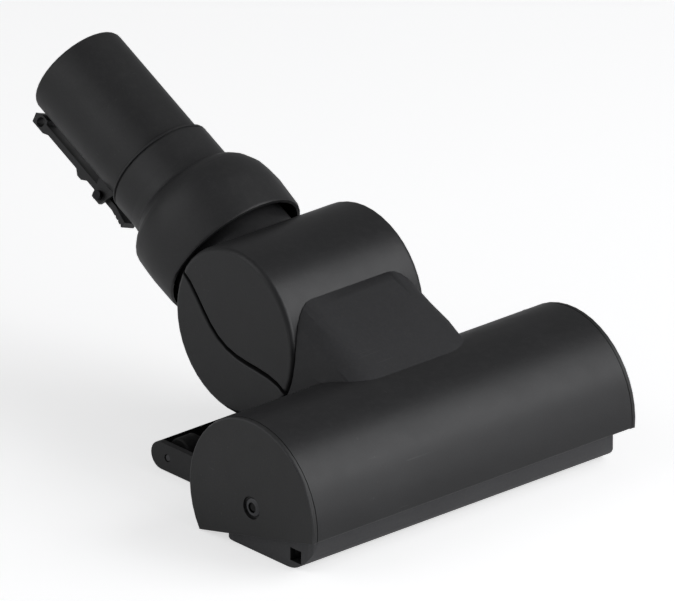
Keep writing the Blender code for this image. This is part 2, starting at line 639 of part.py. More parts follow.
def make_brush(brush_axis):
    lane_low, lane_high = belt_lane()
    spans = (("left", -BRUSH_HALF_LENGTH, lane_low - GAP), ("right", lane_high + GAP, BRUSH_HALF_LENGTH))
    neck = PULLEY_RADIUS - TOOTH_DEPTH - PULLEY_WALL
    bore = BRUSH_AXLE_RADIUS + GAP
    profile = [(bore, -BRUSH_HALF_LENGTH), (BRUSH_CORE_RADIUS, -BRUSH_HALF_LENGTH)]
    profile += [(BRUSH_CORE_RADIUS, lane_low - GAP), (neck, lane_low - GAP)]
    profile += [(neck, lane_high + GAP), (BRUSH_CORE_RADIUS, lane_high + GAP)]
    profile += [(BRUSH_CORE_RADIUS, BRUSH_HALF_LENGTH), (bore, BRUSH_HALF_LENGTH)]
    core = add_object("brush_core", turned(profile, 28, "X"), "inner", brush_axis)
    root = BRUSH_CORE_RADIUS - BRISTLE_SEAT_DEPTH
    for row in (0, 1):
        for end, low, high in spans:
            slot = twisted_blade(low - 0.001, high + 0.001, root, BRUSH_CORE_RADIUS + 0.001,
                                 BRISTLE_WIDTH + 2 * GAP, row)
            cut(core, add_object("tool_seat_%s_%d" % (end, row), slot, None, brush_axis))
            blade = twisted_blade(low + GAP, high - GAP, root + GAP, BRUSH_TIP_RADIUS, BRISTLE_WIDTH, row)
            add_object("bristles_%s_%s" % (end, "ab"[row]), blade, "bristle", brush_axis)
    pulley = toothed_wheel(PULLEY_RADIUS, round(PINION_TEETH * BELT_RATIO), lane_low, lane_high)
    wheel = add_object("brush_pulley", pulley, "turbine", brush_axis)
    hub = rod(neck + GAP, lane_low - GAP, lane_high + GAP, BORE_STEPS)
    cut(wheel, add_object("tool_pulley_bore", hub, None, brush_axis))
    reach = COVER_HALF - BEARING_LENGTH / 2
    add_object("brush_axle", rod(BRUSH_AXLE_RADIUS, -reach, reach), "steel", brush_axis)


# Neck: the wedge duct from the head to the drum, with the arms that carry the drum
def neck_top_line():
    """Foot and slope of the neck's flat top, above the roller axis."""
    rim_y = DRUM_Y + DRUM_RADIUS * math.cos(math.radians(NECK_TOP_ANGLE))
    rim_z = DRUM_ABOVE_ROLLER + DRUM_RADIUS * math.sin(math.radians(NECK_TOP_ANGLE))
    foot_z = math.sqrt(HEAD_RADIUS ** 2 - NECK_FOOT_Y ** 2)
    return foot_z, (rim_z - foot_z) / (rim_y - NECK_FOOT_Y)


def bent_line(start, aim, end, steps):
    """Points of a smooth bend that leaves start towards aim and comes to end from it."""
    points = []
    for step in range(steps + 1):
        share = step / steps
        point = start.lerp(aim, share).lerp(aim.lerp(end, share), share)
        points.append((point.x, point.y))
    return points


def neck_section(y, shrink):
    """Right-hand points, top to bottom, of the neck's section at y."""
    foot_z, slope = neck_top_line()
    top = foot_z + slope * (y - NECK_FOOT_Y) - shrink
    width = NECK_TOP_HALF_WIDTH + NECK_TOP_SPREAD * max(0.0, y) / HEAD_RADIUS - shrink
    outer = NECK_HALF_WIDTH - shrink
    flare = min(HEAD_RADIUS - NECK_FLARE_DROP - shrink / 2, top - 1.6 * NECK_CORNER)
    bottom = shrink - NECK_BOTTOM_DROP + max(0.0, y - HEAD_RADIUS) * NECK_BOTTOM_RISE
    edge = Vector((width, top))
    waist = Vector((outer, flare))
    side = waist - edge
    swell = edge + side / 2 + Vector((-side.y, side.x)) * NECK_SIDE_BULGE
    turn = edge + (swell - edge).normalized() * NECK_CORNER
    points = bent_line(Vector((width - NECK_CORNER, top)), edge, turn, 4)
    points += bent_line(turn, swell, waist, 3)[1:]
    return points + [(outer, bottom)]


def neck_loft(shrink, front, rear):
    maker = bmesh.new()
    stations = 6
    rings = []
    for step in range(stations + 1):
        y = front + (rear - front) * step / stations
        right = neck_section(y, shrink)
        loop = right + [(-x, z) for x, z in reversed(right)]
        rings.append([maker.verts.new((x, y, z)) for x, z in loop])
    maker.faces.new(rings[0])
    maker.faces.new(rings[-1])
    for this, other in zip(rings, rings[1:]):
        count = len(this)
        for index in range(count):
            after = (index + 1) % count
            maker.faces.new((this[index], this[after], other[after], other[index]))
    bmesh.ops.triangulate(maker, faces=maker.faces)
    bmesh.ops.recalc_face_normals(maker, faces=maker.faces)
    return maker


def in_drum(y, z):
    return DRUM_Y + y, DRUM_ABOVE_ROLLER + z


def web_outline():
    """The web inside the duct that ties an arm to the duct's top and bottom."""
    foot_z, slope = neck_top_line()
    sunk = NECK_CORNER + 2 * NECK_WALL
    points = arc((0, 0), HEAD_SEAT_RADIUS, 0, WEB_TOP_ANGLE, 10)
    for y in (HEAD_RADIUS * 0.65, DRUM_Y - DRUM_RADIUS * 0.84):
        points.append((y, foot_z + slope * (y - NECK_FOOT_Y) - sunk))
    rear = DRUM_Y - DRUM_RADIUS * 0.70
    for y in (rear, HEAD_SEAT_RADIUS):
        points.append((y, NECK_WALL / 2 - NECK_BOTTOM_DROP + (y - HEAD_RADIUS) * NECK_BOTTOM_RISE))
    return points


def make_neck(roller):
    drum = (DRUM_Y, DRUM_ABOVE_ROLLER)
    rear = DRUM_Y - NECK_REAR_SHORT
    neck = add_object("neck_duct", neck_loft(0.0, NECK_FRONT_Y, rear), "matte", roller)
    head_hole = rod(HEAD_SEAT_RADIUS, -HALF_HEAD, HALF_HEAD, SEAT_STEPS)
    cut(neck, add_object("tool_head_seat", head_hole, None, roller))
    chin_outer = DRUM_SEAT_RADIUS + CHIN_THICKNESS
    chin_end = PASSAGE_ANGLE + PASSAGE_HALF_ANGLE + PITCH_RANGE + 3
    chin = arc(drum, chin_outer, 180, chin_end, 14) + arc(drum, DRUM_SEAT_RADIUS - GAP, chin_end, 180, 14)
    chin_half = NECK_HALF_WIDTH - CHIN_THICKNESS / 2
    join(neck, add_object("tool_chin", along_x(chin, -chin_half, chin_half), None, roller))
    inside = neck_loft(NECK_WALL, NECK_FOOT_Y + 3 * NECK_WALL, rear + NECK_WALL)
    cut(neck, add_object("tool_duct", inside, None, roller))
    for side in (-1, 1):
        low = min(side * ARM_INNER_X, side * (ARM_INNER_X + ARM_THICKNESS))
        maker = along_x(web_outline(), low, low + ARM_THICKNESS)
        join(neck, add_object("tool_web_%d" % side, maker, None, roller))
    drum_hole = rod(DRUM_SEAT_RADIUS, -HALF_HEAD, HALF_HEAD, SEAT_STEPS, "X", drum)
    cut(neck, add_object("tool_drum_seat", drum_hole, None, roller))
    for side in (-1, 1):
        low = min(side * ARM_INNER_X, side * (ARM_INNER_X + ARM_THICKNESS))
        ahead = Matrix.Rotation(math.radians(PASSAGE_ANGLE), 2)
        reach = DRUM_SEAT_RADIUS + ARM_ROOT
        strip = [(0, -ARM_HALF_HEIGHT), (reach, -ARM_HALF_HEIGHT)]
        strip += [(reach, ARM_HALF_HEIGHT), (0, ARM_HALF_HEIGHT)]
        strip = [ahead @ Vector(point) for point in strip]
        outline = [in_drum(point.x, point.y) for point in strip]
        join(neck, add_object("tool_arm_%d" % side, along_x(outline, low, low + ARM_THICKNESS), None, roller))
        eye = rod(ARM_EYE_RADIUS, low, low + ARM_THICKNESS, 24, "X", drum)
        join(neck, add_object("tool_eye_%d" % side, eye, None, roller))
        near = side * (ARM_INNER_X + ARM_THICKNESS / 2)
        far = side * (ARM_INNER_X + ARM_THICKNESS + TRUNNION_LENGTH)
        trunnion = rod(TRUNNION_RADIUS, min(near, far), max(near, far), 24, "X", drum)
        join(neck, add_object("tool_trunnion_%d" % side, trunnion, None, roller))
    through = ARM_INNER_X + ARM_THICKNESS + TRUNNION_LENGTH + GAP
    bore = rod(TURBINE_BEARING_RADIUS + GAP, -through, through, BORE_STEPS, "X", drum)
    cut(neck, add_object("tool_turbine_seat", bore, None, roller))
    return solve_as_manifold(neck)


# Drum shells with the stub tube, parted along an S-shaped seam
def seam_curve(reach, lift):
    """The parting line across the drum, from the front round to the stub."""
    tilt = Matrix.Rotation(math.radians(SEAM_ANGLE), 2)
    points = []
    for step in range(13):
        share = -1 + 2 * step / 12
        bow = -SEAM_BOW * math.cos(share * math.pi / 2) ** 2
        bow -= SEAM_LEAN * math.sin(share * math.pi)
        point = tilt @ Vector((share * DRUM_RADIUS, bow))
        points.append((point.x, point.y + lift))
    start = tilt @ Vector((-reach, 0))
    end = tilt @ Vector((reach, 0))
    return [(start.x, start.y + lift)] + points + [(end.x, end.y + lift)]


def drum_body(drum_axis, tube_axis, name, finish):
    edge = DRUM_EDGE_ROUND
    inside = DRUM_RADIUS - DRUM_WALL
    flat = DRUM_HALF_LENGTH - DRUM_WALL
    profile = [(0, -DRUM_HALF_LENGTH)]
    profile += arc((DRUM_RADIUS - edge, edge - DRUM_HALF_LENGTH), edge, -90, 0, 3)
    profile += [(radius, -along) for radius, along in reversed(profile)]
    shell = add_object(name, turned(profile, DRUM_STEPS, "X"), finish, drum_axis)
    stub = rod(STUB_RADIUS, 0.0, STUB_END, ROUND_STEPS, "Z")
    join(shell, add_object("tool_stub_" + name, stub, None, tube_axis))
    flange = rod(STUB_FLANGE_RADIUS, STUB_FLANGE_FROM, STUB_FLANGE_FROM + STUB_FLANGE_WIDTH, ROUND_STEPS, "Z")
    join(shell, add_object("tool_flange_" + name, flange, None, tube_axis))
    hollow = turned([(0, -flat), (inside, -flat), (inside, flat), (0, flat)], DRUM_STEPS, "X")
    cut(shell, add_object("tool_hollow_" + name, hollow, None, drum_axis))
    bore = rod(STUB_RADIUS - STUB_WALL, 0.0, STUB_END + GAP, ROUND_STEPS, "Z")
    cut(shell, add_object("tool_bore_" + name, bore, None, tube_axis))
    for side in (-1, 1):
        start = side * (ARM_INNER_X + ARM_THICKNESS + 3 * GAP)
        end = side * (DRUM_HALF_LENGTH - DRUM_WALL / 2)
        socket = [(TRUNNION_RADIUS + GAP, start), (TRUNNION_RADIUS + GAP + DRUM_WALL, start)]
        socket += [(TRUNNION_RADIUS + GAP + DRUM_WALL, end), (TRUNNION_RADIUS + GAP, end)]
        ring = add_object("tool_socket_%s_%d" % (name, side), turned(socket, 24, "X"), None, drum_axis)
        join(shell, ring)
    first = PASSAGE_ANGLE - PASSAGE_HALF_ANGLE - PITCH_RANGE
    last = PASSAGE_ANGLE + PASSAGE_HALF_ANGLE
    sector = arc((0, 0), DRUM_RADIUS + DRUM_WALL, first, last, 12)
    sector += arc((0, 0), ARM_EYE_RADIUS + 2 * GAP, last, first, 12)
    half = ARM_INNER_X + ARM_THICKNESS + 3 * GAP
    cut(shell, add_object("tool_window_" + name, along_x(sector, -half, half), None, drum_axis))
    return shell


def make_drum_shells(drum_axis, tube_axis):
    far = UPPER_TUBE_END
    upper = drum_body(drum_axis, tube_axis, "drum_upper_shell", "charcoal")
    above = seam_curve(far, SEAM_GAP / 2)
    above += [(far, far), (-far, far)]
    keep(upper, add_object("tool_above", along_x(above, -far, far), None, drum_axis))
    solve_as_manifold(upper)
    lower = drum_body(drum_axis, tube_axis, "drum_lower_shell", "charcoal")
    below = seam_curve(far, -SEAM_GAP / 2)
    below += [(far, -far), (-far, -far)]
    keep(lower, add_object("tool_below", along_x(below, -far, far), None, drum_axis))
    solve_as_manifold(lower)


# Turbine: a bladed wheel on a shaft, with the belt pinion beside it
def make_turbine(turbine_axis):
    hub = [(TURBINE_SHAFT_RADIUS + GAP, TURBINE_LOW_X), (TURBINE_RADIUS, TURBINE_LOW_X)]
    hub += [(TURBINE_RADIUS, TURBINE_LOW_X + TURBINE_DISC)]
    hub += [(TURBINE_HUB_RADIUS, TURBINE_LOW_X + TURBINE_DISC)]
    hub += [(TURBINE_HUB_RADIUS, TURBINE_HIGH_X), (TURBINE_SHAFT_RADIUS + GAP, TURBINE_HIGH_X)]
    wheel = add_object("turbine_wheel", turned(hub, 33, "X"), "turbine", turbine_axis)
    for number in range(TURBINE_BLADES):
        turn = Matrix.Rotation(2 * math.pi * number / TURBINE_BLADES, 2)
        inner = []
        outer = []
        for step in range(6):
            share = step / 5
            reach = TURBINE_HUB_RADIUS * 0.9 + (TURBINE_RADIUS - TURBINE_HUB_RADIUS * 0.9) * share
            lean = math.radians(46) * share ** 1.6
            point = Vector((reach * math.cos(lean), reach * math.sin(lean)))
            normal = Vector((-math.sin(lean * 1.7), math.cos(lean * 1.7))) * TURBINE_BLADE_THICKNESS / 2
            inner.append(turn @ (point - normal))
            outer.append(turn @ (point + normal))
        outline = [(p.x, p.y) for p in inner] + [(p.x, p.y) for p in reversed(outer)]
        blade = along_x(outline, TURBINE_LOW_X + TURBINE_DISC / 2, TURBINE_HIGH_X)
        join(wheel, add_object("tool_blade_%d" % number, blade, None, turbine_axis))
    end = ARM_INNER_X + ARM_THICKNESS + TRUNNION_LENGTH / 2
    add_object("turbine_shaft", rod(TURBINE_SHAFT_RADIUS, -end, end), "steel", turbine_axis)
    lane_low, lane_high = belt_lane()
    pinion = add_object("turbine_pinion", toothed_wheel(PINION_RADIUS, PINION_TEETH, lane_low, lane_high),
                        "bronze", turbine_axis)
    bore = rod(TURBINE_SHAFT_RADIUS + GAP, lane_low - GAP, lane_high + GAP)
    cut(pinion, add_object("tool_pinion_bore", bore, None, turbine_axis))


def make_turbine_bearing(name, side, drum_fixed):
    start = side * ARM_INNER_X
    end = side * (ARM_INNER_X + ARM_THICKNESS + TRUNNION_LENGTH / 2)
    profile = [(TURBINE_SHAFT_RADIUS + GAP, start), (TURBINE_BEARING_RADIUS, start)]
    profile += [(TURBINE_BEARING_RADIUS, end), (TURBINE_SHAFT_RADIUS + GAP, end)]
    add_object(name, turned(profile, BORE_STEPS, "X"), "steel", drum_fixed)


def make_belt(roller):
    """The toothed belt as one closed loop round both pulleys."""
    def loop(extra):
        small = PINION_RADIUS + extra
        large = PULLEY_RADIUS + extra
        wrap = math.degrees(math.acos((large - small) / BELT_SPAN))
        points = arc((0, 0), large, DRUM_RISE + wrap, DRUM_RISE + 360 - wrap, 28)
        points += arc((DRUM_Y, DRUM_ABOVE_ROLLER), small, DRUM_RISE - wrap, DRUM_RISE + wrap, 18)
        return points
    low = BELT_X - BELT_WIDTH / 2
    high = BELT_X + BELT_WIDTH / 2
    belt = add_object("drive_belt", along_x(loop(GAP + BELT_THICKNESS), low, high), "rubber", roller)
    inside = along_x(loop(GAP), low - GAP, high + GAP)
    cut(belt, add_object("tool_belt_inside", inside, None, roller))


# Swivel collar with its shoulder and sleeve, and the suction tube in it
def make_swivel(tube_axis):
    inner = COLLAR_RADIUS - COLLAR_WALL
    profile = [(COLLAR_RIM_RADIUS - COLLAR_WALL, COLLAR_FROM)]
    profile += [(COLLAR_RIM_RADIUS - 0.3 * COLLAR_WALL, COLLAR_FROM)]
    profile += [(COLLAR_RIM_RADIUS, COLLAR_FROM + 0.5 * COLLAR_WALL)]
    profile += [(COLLAR_RADIUS, COLLAR_SHOULDER - COLLAR_WALL)]
    profile += [(COLLAR_RADIUS - 0.4 * COLLAR_WALL, COLLAR_SHOULDER)]
    profile += [(SLEEVE_RADIUS + COLLAR_WALL / 2, SLEEVE_FROM - COLLAR_WALL)]
    profile += [(SLEEVE_RADIUS, SLEEVE_FROM + COLLAR_WALL)]
    profile += [(SLEEVE_RADIUS, SLEEVE_END - GAP), (SLEEVE_RADIUS - GAP, SLEEVE_END)]
    profile += [(UPPER_TUBE_RADIUS + GAP, SLEEVE_END), (UPPER_TUBE_RADIUS + GAP, SLEEVE_STEP)]
    seat = STUB_END + SEAL_LENGTH + 2 * GAP
    profile += [(UPPER_TUBE_BORE, SLEEVE_STEP), (UPPER_TUBE_BORE, seat), (inner, seat)]
    collar = add_object("swivel_collar", turned(profile), "charcoal", tube_axis)
    tube = [(UPPER_TUBE_BORE, SLEEVE_STEP + GAP), (UPPER_TUBE_RADIUS, SLEEVE_STEP + GAP)]
    tube += [(UPPER_TUBE_RADIUS, UPPER_TUBE_END - TUBE_RIM_ROUND)]
    tube += [(UPPER_TUBE_RADIUS - 0.3 * TUBE_RIM_ROUND, UPPER_TUBE_END - 0.3 * TUBE_RIM_ROUND)]
    tube += [(UPPER_TUBE_RADIUS - TUBE_RIM_ROUND, UPPER_TUBE_END), (UPPER_TUBE_BORE, UPPER_TUBE_END)]
    upper = add_object("upper_tube", turned(tube), "charcoal", tube_axis)
    ring_end = STUB_FLANGE_FROM - GAP
    ring = [(STUB_RADIUS + GAP, ring_end - RING_LENGTH), (inner - GAP, ring_end - RING_LENGTH)]
    ring += [(inner - GAP, ring_end), (STUB_RADIUS + GAP, ring_end)]
    add_object("swivel_ring", turned(ring, 36), "turbine", tube_axis)
    seal_from = STUB_END + GAP
    seal = [(STUB_RADIUS - STUB_WALL, seal_from), (STUB_RADIUS, seal_from)]
    seal += [(STUB_RADIUS, seal_from + SEAL_LENGTH), (STUB_RADIUS - STUB_WALL, seal_from + SEAL_LENGTH)]
    add_object("swivel_seal", turned(seal, 36), "rubber", tube_axis)
    return collar, upper


def lever_place(u, v, w):
    """Lever outlines run (along the tube, out from its axis); w is across."""
    return (w, -v, u)


# Latch lever, with its pivot pin between two ears of the tube
def make_latch(latch_side, latch_axis, collar, upper):
    half = LATCH_WIDTH / 2
    back = LATCH_BACK
    under = LATCH_BACK - LATCH_BAR
    hook_low = UPPER_TUBE_RADIUS + 4 * GAP
    knuckle = LATCH_PIN_RADIUS + GAP + LATCH_BAR / 2
    pivot = (LATCH_PIVOT, LATCH_PIVOT_RADIUS)
    bite = math.degrees(math.asin(LATCH_BAR / 2 / knuckle))
    pad_end = LATCH_PIVOT - 3 * LATCH_BAR

    outline = [(LATCH_PAD_FROM, back + LATCH_PAD_RISE), (LATCH_PAD_FROM, under + LATCH_PAD_RISE)]
    outline += [(pad_end, under)] + arc(pivot, knuckle, 180 + bite, 360 - bite, 8)
    outline += [(LATCH_HOOK_END - 3 * LATCH_BAR, under), (LATCH_HOOK_END - 2.6 * LATCH_BAR, hook_low)]
    outline += [(LATCH_HOOK_END - LATCH_BAR, hook_low), (LATCH_HOOK_END, under)]
    outline += [(LATCH_HOOK_END - LATCH_BAR / 2, back + LATCH_BAR / 2)]
    outline += [(LATCH_HOOK_END - 3.4 * LATCH_BAR, back + LATCH_BAR / 2)]
    outline += [(LATCH_HOOK_END - 4.4 * LATCH_BAR, back), (LATCH_PIVOT + 7 * LATCH_BAR, back)]
    outline += [(LATCH_PIVOT + 6 * LATCH_BAR, back + LATCH_BAR * 0.7)]
    outline += [(LATCH_PIVOT + 5 * LATCH_BAR, back + LATCH_BAR * 0.7), (LATCH_PIVOT + 4 * LATCH_BAR, back)]
    outline += arc(pivot, knuckle, bite, 180 - bite, 8) + [(pad_end, back)]
    for step in reversed(range(GRIP_GROOVES)):
        groove = LATCH_PAD_FROM + GRIP_PITCH * (step + 0.5)
        for along, depth in ((groove + GRIP_DEPTH, 0), (groove, GRIP_DEPTH), (groove - GRIP_DEPTH, 0)):
            rise = LATCH_PAD_RISE * (pad_end - along) / (pad_end - LATCH_PAD_FROM)
            outline.append((along, back + rise - depth))
    local = [(along - LATCH_PIVOT, out - LATCH_PIVOT_RADIUS) for along, out in outline]
    blank = extruded(local, -half, half, lever_place)
    bmesh.ops.triangulate(blank, faces=blank.faces)
    lever = add_object("latch_lever", blank, "charcoal", latch_axis)
    bore = rod(LATCH_PIN_RADIUS + GAP, -half - GAP, half + GAP)
    cut(lever, add_object("tool_latch_bore", bore, None, latch_axis))
    eye_along = LATCH_HOOK_END - 1.8 * LATCH_BAR - LATCH_PIVOT
    eye_out = LATCH_PIVOT_RADIUS - (LATCH_BACK - LATCH_BAR * 0.55)
    eye = rod(LATCH_EYE_RADIUS, -half - GAP, half + GAP, SMALL_STEPS, "X", (eye_out, eye_along))
    cut(lever, add_object("tool_latch_eye", eye, None, latch_axis))

    ear_low = half + GAP
    ear_high = half + GAP + LATCH_EAR
    for side in (-1, 1):
        start = min(side * ear_low, side * ear_high)
        ear = [(LATCH_PIVOT - 2.2 * LATCH_BAR, UPPER_TUBE_BORE + GAP)]
        ear += [(LATCH_PIVOT + 2.2 * LATCH_BAR, UPPER_TUBE_BORE + GAP)]
        ear += [(LATCH_PIVOT + LATCH_BAR, LATCH_PIVOT_RADIUS + knuckle)]
        ear += [(LATCH_PIVOT - LATCH_BAR, LATCH_PIVOT_RADIUS + knuckle)]
        maker = extruded(ear, start, start + LATCH_EAR, lever_place)
        join(upper, add_object("tool_ear_%d" % side, maker, None, latch_side))
    bore_core = rod(UPPER_TUBE_BORE, SLEEVE_STEP, UPPER_TUBE_END + GAP, ROUND_STEPS, "Z")
    cut(upper, add_object("tool_upper_bore", bore_core, None, latch_side))
    hole = rod(LATCH_PIN_RADIUS + GAP, -ear_high - GAP, ear_high + GAP, SMALL_STEPS, "X",
               (-LATCH_PIVOT_RADIUS, LATCH_PIVOT))
    cut(upper, add_object("tool_ear_bore", hole, None, latch_side))
    knob = ear_high + GAP
    tip = knob + LATCH_PIN_KNOB
    pin = [(0, -tip), (LATCH_PIN_KNOB, -tip), (LATCH_PIN_KNOB, -knob), (LATCH_PIN_RADIUS, -knob)]
    pin += [(LATCH_PIN_RADIUS, knob), (LATCH_PIN_KNOB, knob), (LATCH_PIN_KNOB, tip), (0, tip)]
    pin_object = add_object("latch_pin", turned(pin, SMALL_STEPS, "X"), "steel", latch_side)
    pin_object.location = (0, -LATCH_PIVOT_RADIUS, LATCH_PIVOT)

    sunk = COLLAR_RADIUS - COLLAR_WALL / 2
    crown = COLLAR_RADIUS + GUARD_RISE
    guard = [(GUARD_FROM, sunk), (GUARD_FROM + GUARD_LENGTH, sunk), (GUARD_FROM + GUARD_LENGTH, crown)]
    guard += [(GUARD_FROM + GUARD_RISE / 2, crown), (GUARD_FROM, COLLAR_RADIUS + GUARD_RISE / 2)]
    maker = extruded(guard, -half, half, lever_place)
    join(collar, add_object("tool_guard", maker, None, latch_side))


# Rear skid: a low tray with rounded cheeks, its two rollers and their pins
def make_skid(roller):
    floor = SKID_LIFT - AXLE_HEIGHT
    top = SKID_HEIGHT - AXLE_HEIGHT
    nose = (top - floor) / 2
    outline = [(HEAD_RADIUS * 0.8, floor)] + arc((SKID_REAR_Y - nose, floor + nose), nose, -90, 90, 12)
    outline += [(HEAD_RADIUS * 0.8, top)]
    skid = add_object("rear_skid", along_x(outline, -SKID_HALF_WIDTH, SKID_HALF_WIDTH), "charcoal", roller)
    front = HEAD_RADIUS + SKID_WALL + GAP
    tray_rear = SKID_REAR_Y - SKID_WALL
    inner = SKID_HALF_WIDTH - SKID_WALL
    tray = box((-inner, front, floor + SKID_FLOOR), (inner, tray_rear, top + GAP))
    cut(skid, add_object("tool_tray", tray, None, roller))
    seat = rod(HEAD_SEAT_RADIUS, -HALF_HEAD, HALF_HEAD, SEAT_STEPS)
    cut(skid, add_object("tool_skid_seat", seat, None, roller))
    rib_x = WHEEL_X - WHEEL_WIDTH / 2 - 2 * GAP - SKID_WALL
    for side in (-1, 1):
        low = min(side * rib_x, side * (rib_x + SKID_WALL))
        rib = box((low, WHEEL_CENTRE[0] - 1.4 * nose, floor + SKID_FLOOR / 2),
                  (low + SKID_WALL, tray_rear + SKID_WALL / 2, WHEEL_CENTRE[1] + 0.6 * nose))
        join(skid, add_object("tool_rib_%d" % side, rib, None, roller))
    for side in (-1, 1):
        room = WHEEL_RADIUS + GAP
        slot_low = side * WHEEL_X - WHEEL_WIDTH / 2 - GAP
        slot = box((slot_low, WHEEL_CENTRE[0] - room, floor - GAP),
                   (slot_low + WHEEL_WIDTH + 2 * GAP, WHEEL_CENTRE[0] + room, floor + SKID_FLOOR + GAP))
        cut(skid, add_object("tool_slot_%d" % side, slot, None, roller))
        far = side * (SKID_HALF_WIDTH + GAP)
        near = side * (rib_x - GAP)
        bore = rod(WHEEL_AXLE_RADIUS + GAP, min(near, far), max(near, far), SMALL_STEPS, "X", WHEEL_CENTRE)
        cut(skid, add_object("tool_axle_bore_%d" % side, bore, None, roller))
        height = SKID_SCREW_HEIGHT - AXLE_HEIGHT
        spot = (side * SKID_SCREW_X, height)
        hole = rod(SOLE_SCREW_RADIUS + GAP, HEAD_RADIUS * 0.8, front + GAP, 12, "Y", spot)
        cut(skid, add_object("tool_skid_hole_%d" % side, hole, None, roller))
        name = "left" if side < 0 else "right"
        pin_low = side * (rib_x + GAP)
        pin_high = side * (SKID_HALF_WIDTH - GAP)
        ends = (min(pin_low, pin_high), max(pin_low, pin_high))
        pin = rod(WHEEL_AXLE_RADIUS, ends[0], ends[1], SMALL_STEPS, "X", WHEEL_CENTRE)
        add_object("wheel_pin_" + name, pin, "steel", roller)


def make_skid_screws(roller):
    front = HEAD_RADIUS + SKID_WALL + 2 * GAP
    height = SKID_SCREW_HEIGHT - AXLE_HEIGHT
    outer = math.sqrt((HEAD_RADIUS - HEAD_WALL / 2) ** 2 - height ** 2)
    tip = outer - SKID_SCREW_LENGTH + 2 * GAP
    for side in (-1, 1):
        crown = front + SOLE_SCREW_HEAD_HEIGHT
        profile = [(0, tip), (SOLE_SCREW_RADIUS, tip), (SOLE_SCREW_RADIUS, front)]
        profile += [(SOLE_SCREW_HEAD_RADIUS, front), (SOLE_SCREW_HEAD_RADIUS, crown), (0, crown)]
        name = "skid_screw_left" if side < 0 else "skid_screw_right"
        screw = add_object(name, turned(profile, 12), "steel", roller)
        screw.rotation_euler = (math.radians(-90), 0, 0)
        screw.location = (side * SKID_SCREW_X, 0, height)


def make_wheel(name, wheel_axis):
    half = WHEEL_WIDTH / 2
    profile = [(WHEEL_AXLE_RADIUS + GAP, -half), (WHEEL_RADIUS - 2 * GAP, -half)]
    profile += [(WHEEL_RADIUS, -half + 2 * GAP)]
    profile += [(along_radius, -along) for along_radius, along in reversed(profile)]
    add_object(name, turned(profile, 28, "X"), "rubber", wheel_axis)


# Put the object together
clear_scene()
roller_fixed = add_axis("roller_fixed", ROLLER)
make_head_cover(roller_fixed)
make_end_cap("left_end_cap", -1, roller_fixed)
make_end_cap("right_end_cap", 1, roller_fixed)
make_cap_screw("end_cap_screw_left", -1, roller_fixed)
make_cap_screw("end_cap_screw_right", 1, roller_fixed)
make_roller_bearing("roller_bearing_left", -1, roller_fixed)
make_roller_bearing("roller_bearing_right", 1, roller_fixed)
make_sole_plate(roller_fixed)
make_sole_screws(roller_fixed)
make_neck(roller_fixed)
make_belt(roller_fixed)
make_skid(roller_fixed)
make_skid_screws(roller_fixed)
for wheel_side, wheel_name in ((-1, "wheel_left"), (1, "wheel_right")):
    wheel_place = (wheel_side * WHEEL_X, WHEEL_CENTRE[0], WHEEL_CENTRE[1])
    make_wheel(wheel_name, add_axis(wheel_name + "_axis", wheel_place, None, roller_fixed))

make_brush(add_axis("brush_spin_axis", ROLLER))

drum_fixed = add_axis("drum_fixed", DRUM)
make_turbine_bearing("turbine_bearing_left", -1, drum_fixed)
make_turbine_bearing("turbine_bearing_right", 1, drum_fixed)
make_turbine(add_axis("turbine_spin_axis", DRUM))

drum_axis = add_axis("drum_pitch_axis", DRUM)
tube_turn = Matrix.Rotation(math.radians(TUBE_ELEVATION - 90), 4, "X")
tube_down = Vector((0.0, math.sin(math.radians(TUBE_ELEVATION)), -math.cos(math.radians(TUBE_ELEVATION))))
stub_axis = add_axis("stub_axis", tube_down * TUBE_DROP, tube_turn, drum_axis)
make_drum_shells(drum_axis, stub_axis)

swivel_axis = add_axis("tube_swivel_axis", (0, 0, 0), None, stub_axis)
collar_piece, tube_piece = make_swivel(swivel_axis)
latch_turn = Matrix.Rotation(math.radians(180 + LATCH_SWING), 4, "Z")
latch_frame = add_axis("latch_frame", (0, 0, 0), latch_turn, swivel_axis)
latch_hinge = add_axis("latch_hinge_axis", (0, -LATCH_PIVOT_RADIUS, LATCH_PIVOT), None, latch_frame)
make_latch(latch_frame, latch_hinge, collar_piece, tube_piece)
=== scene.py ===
import json
import math

import bmesh
import bpy
from mathutils import Matrix, Vector


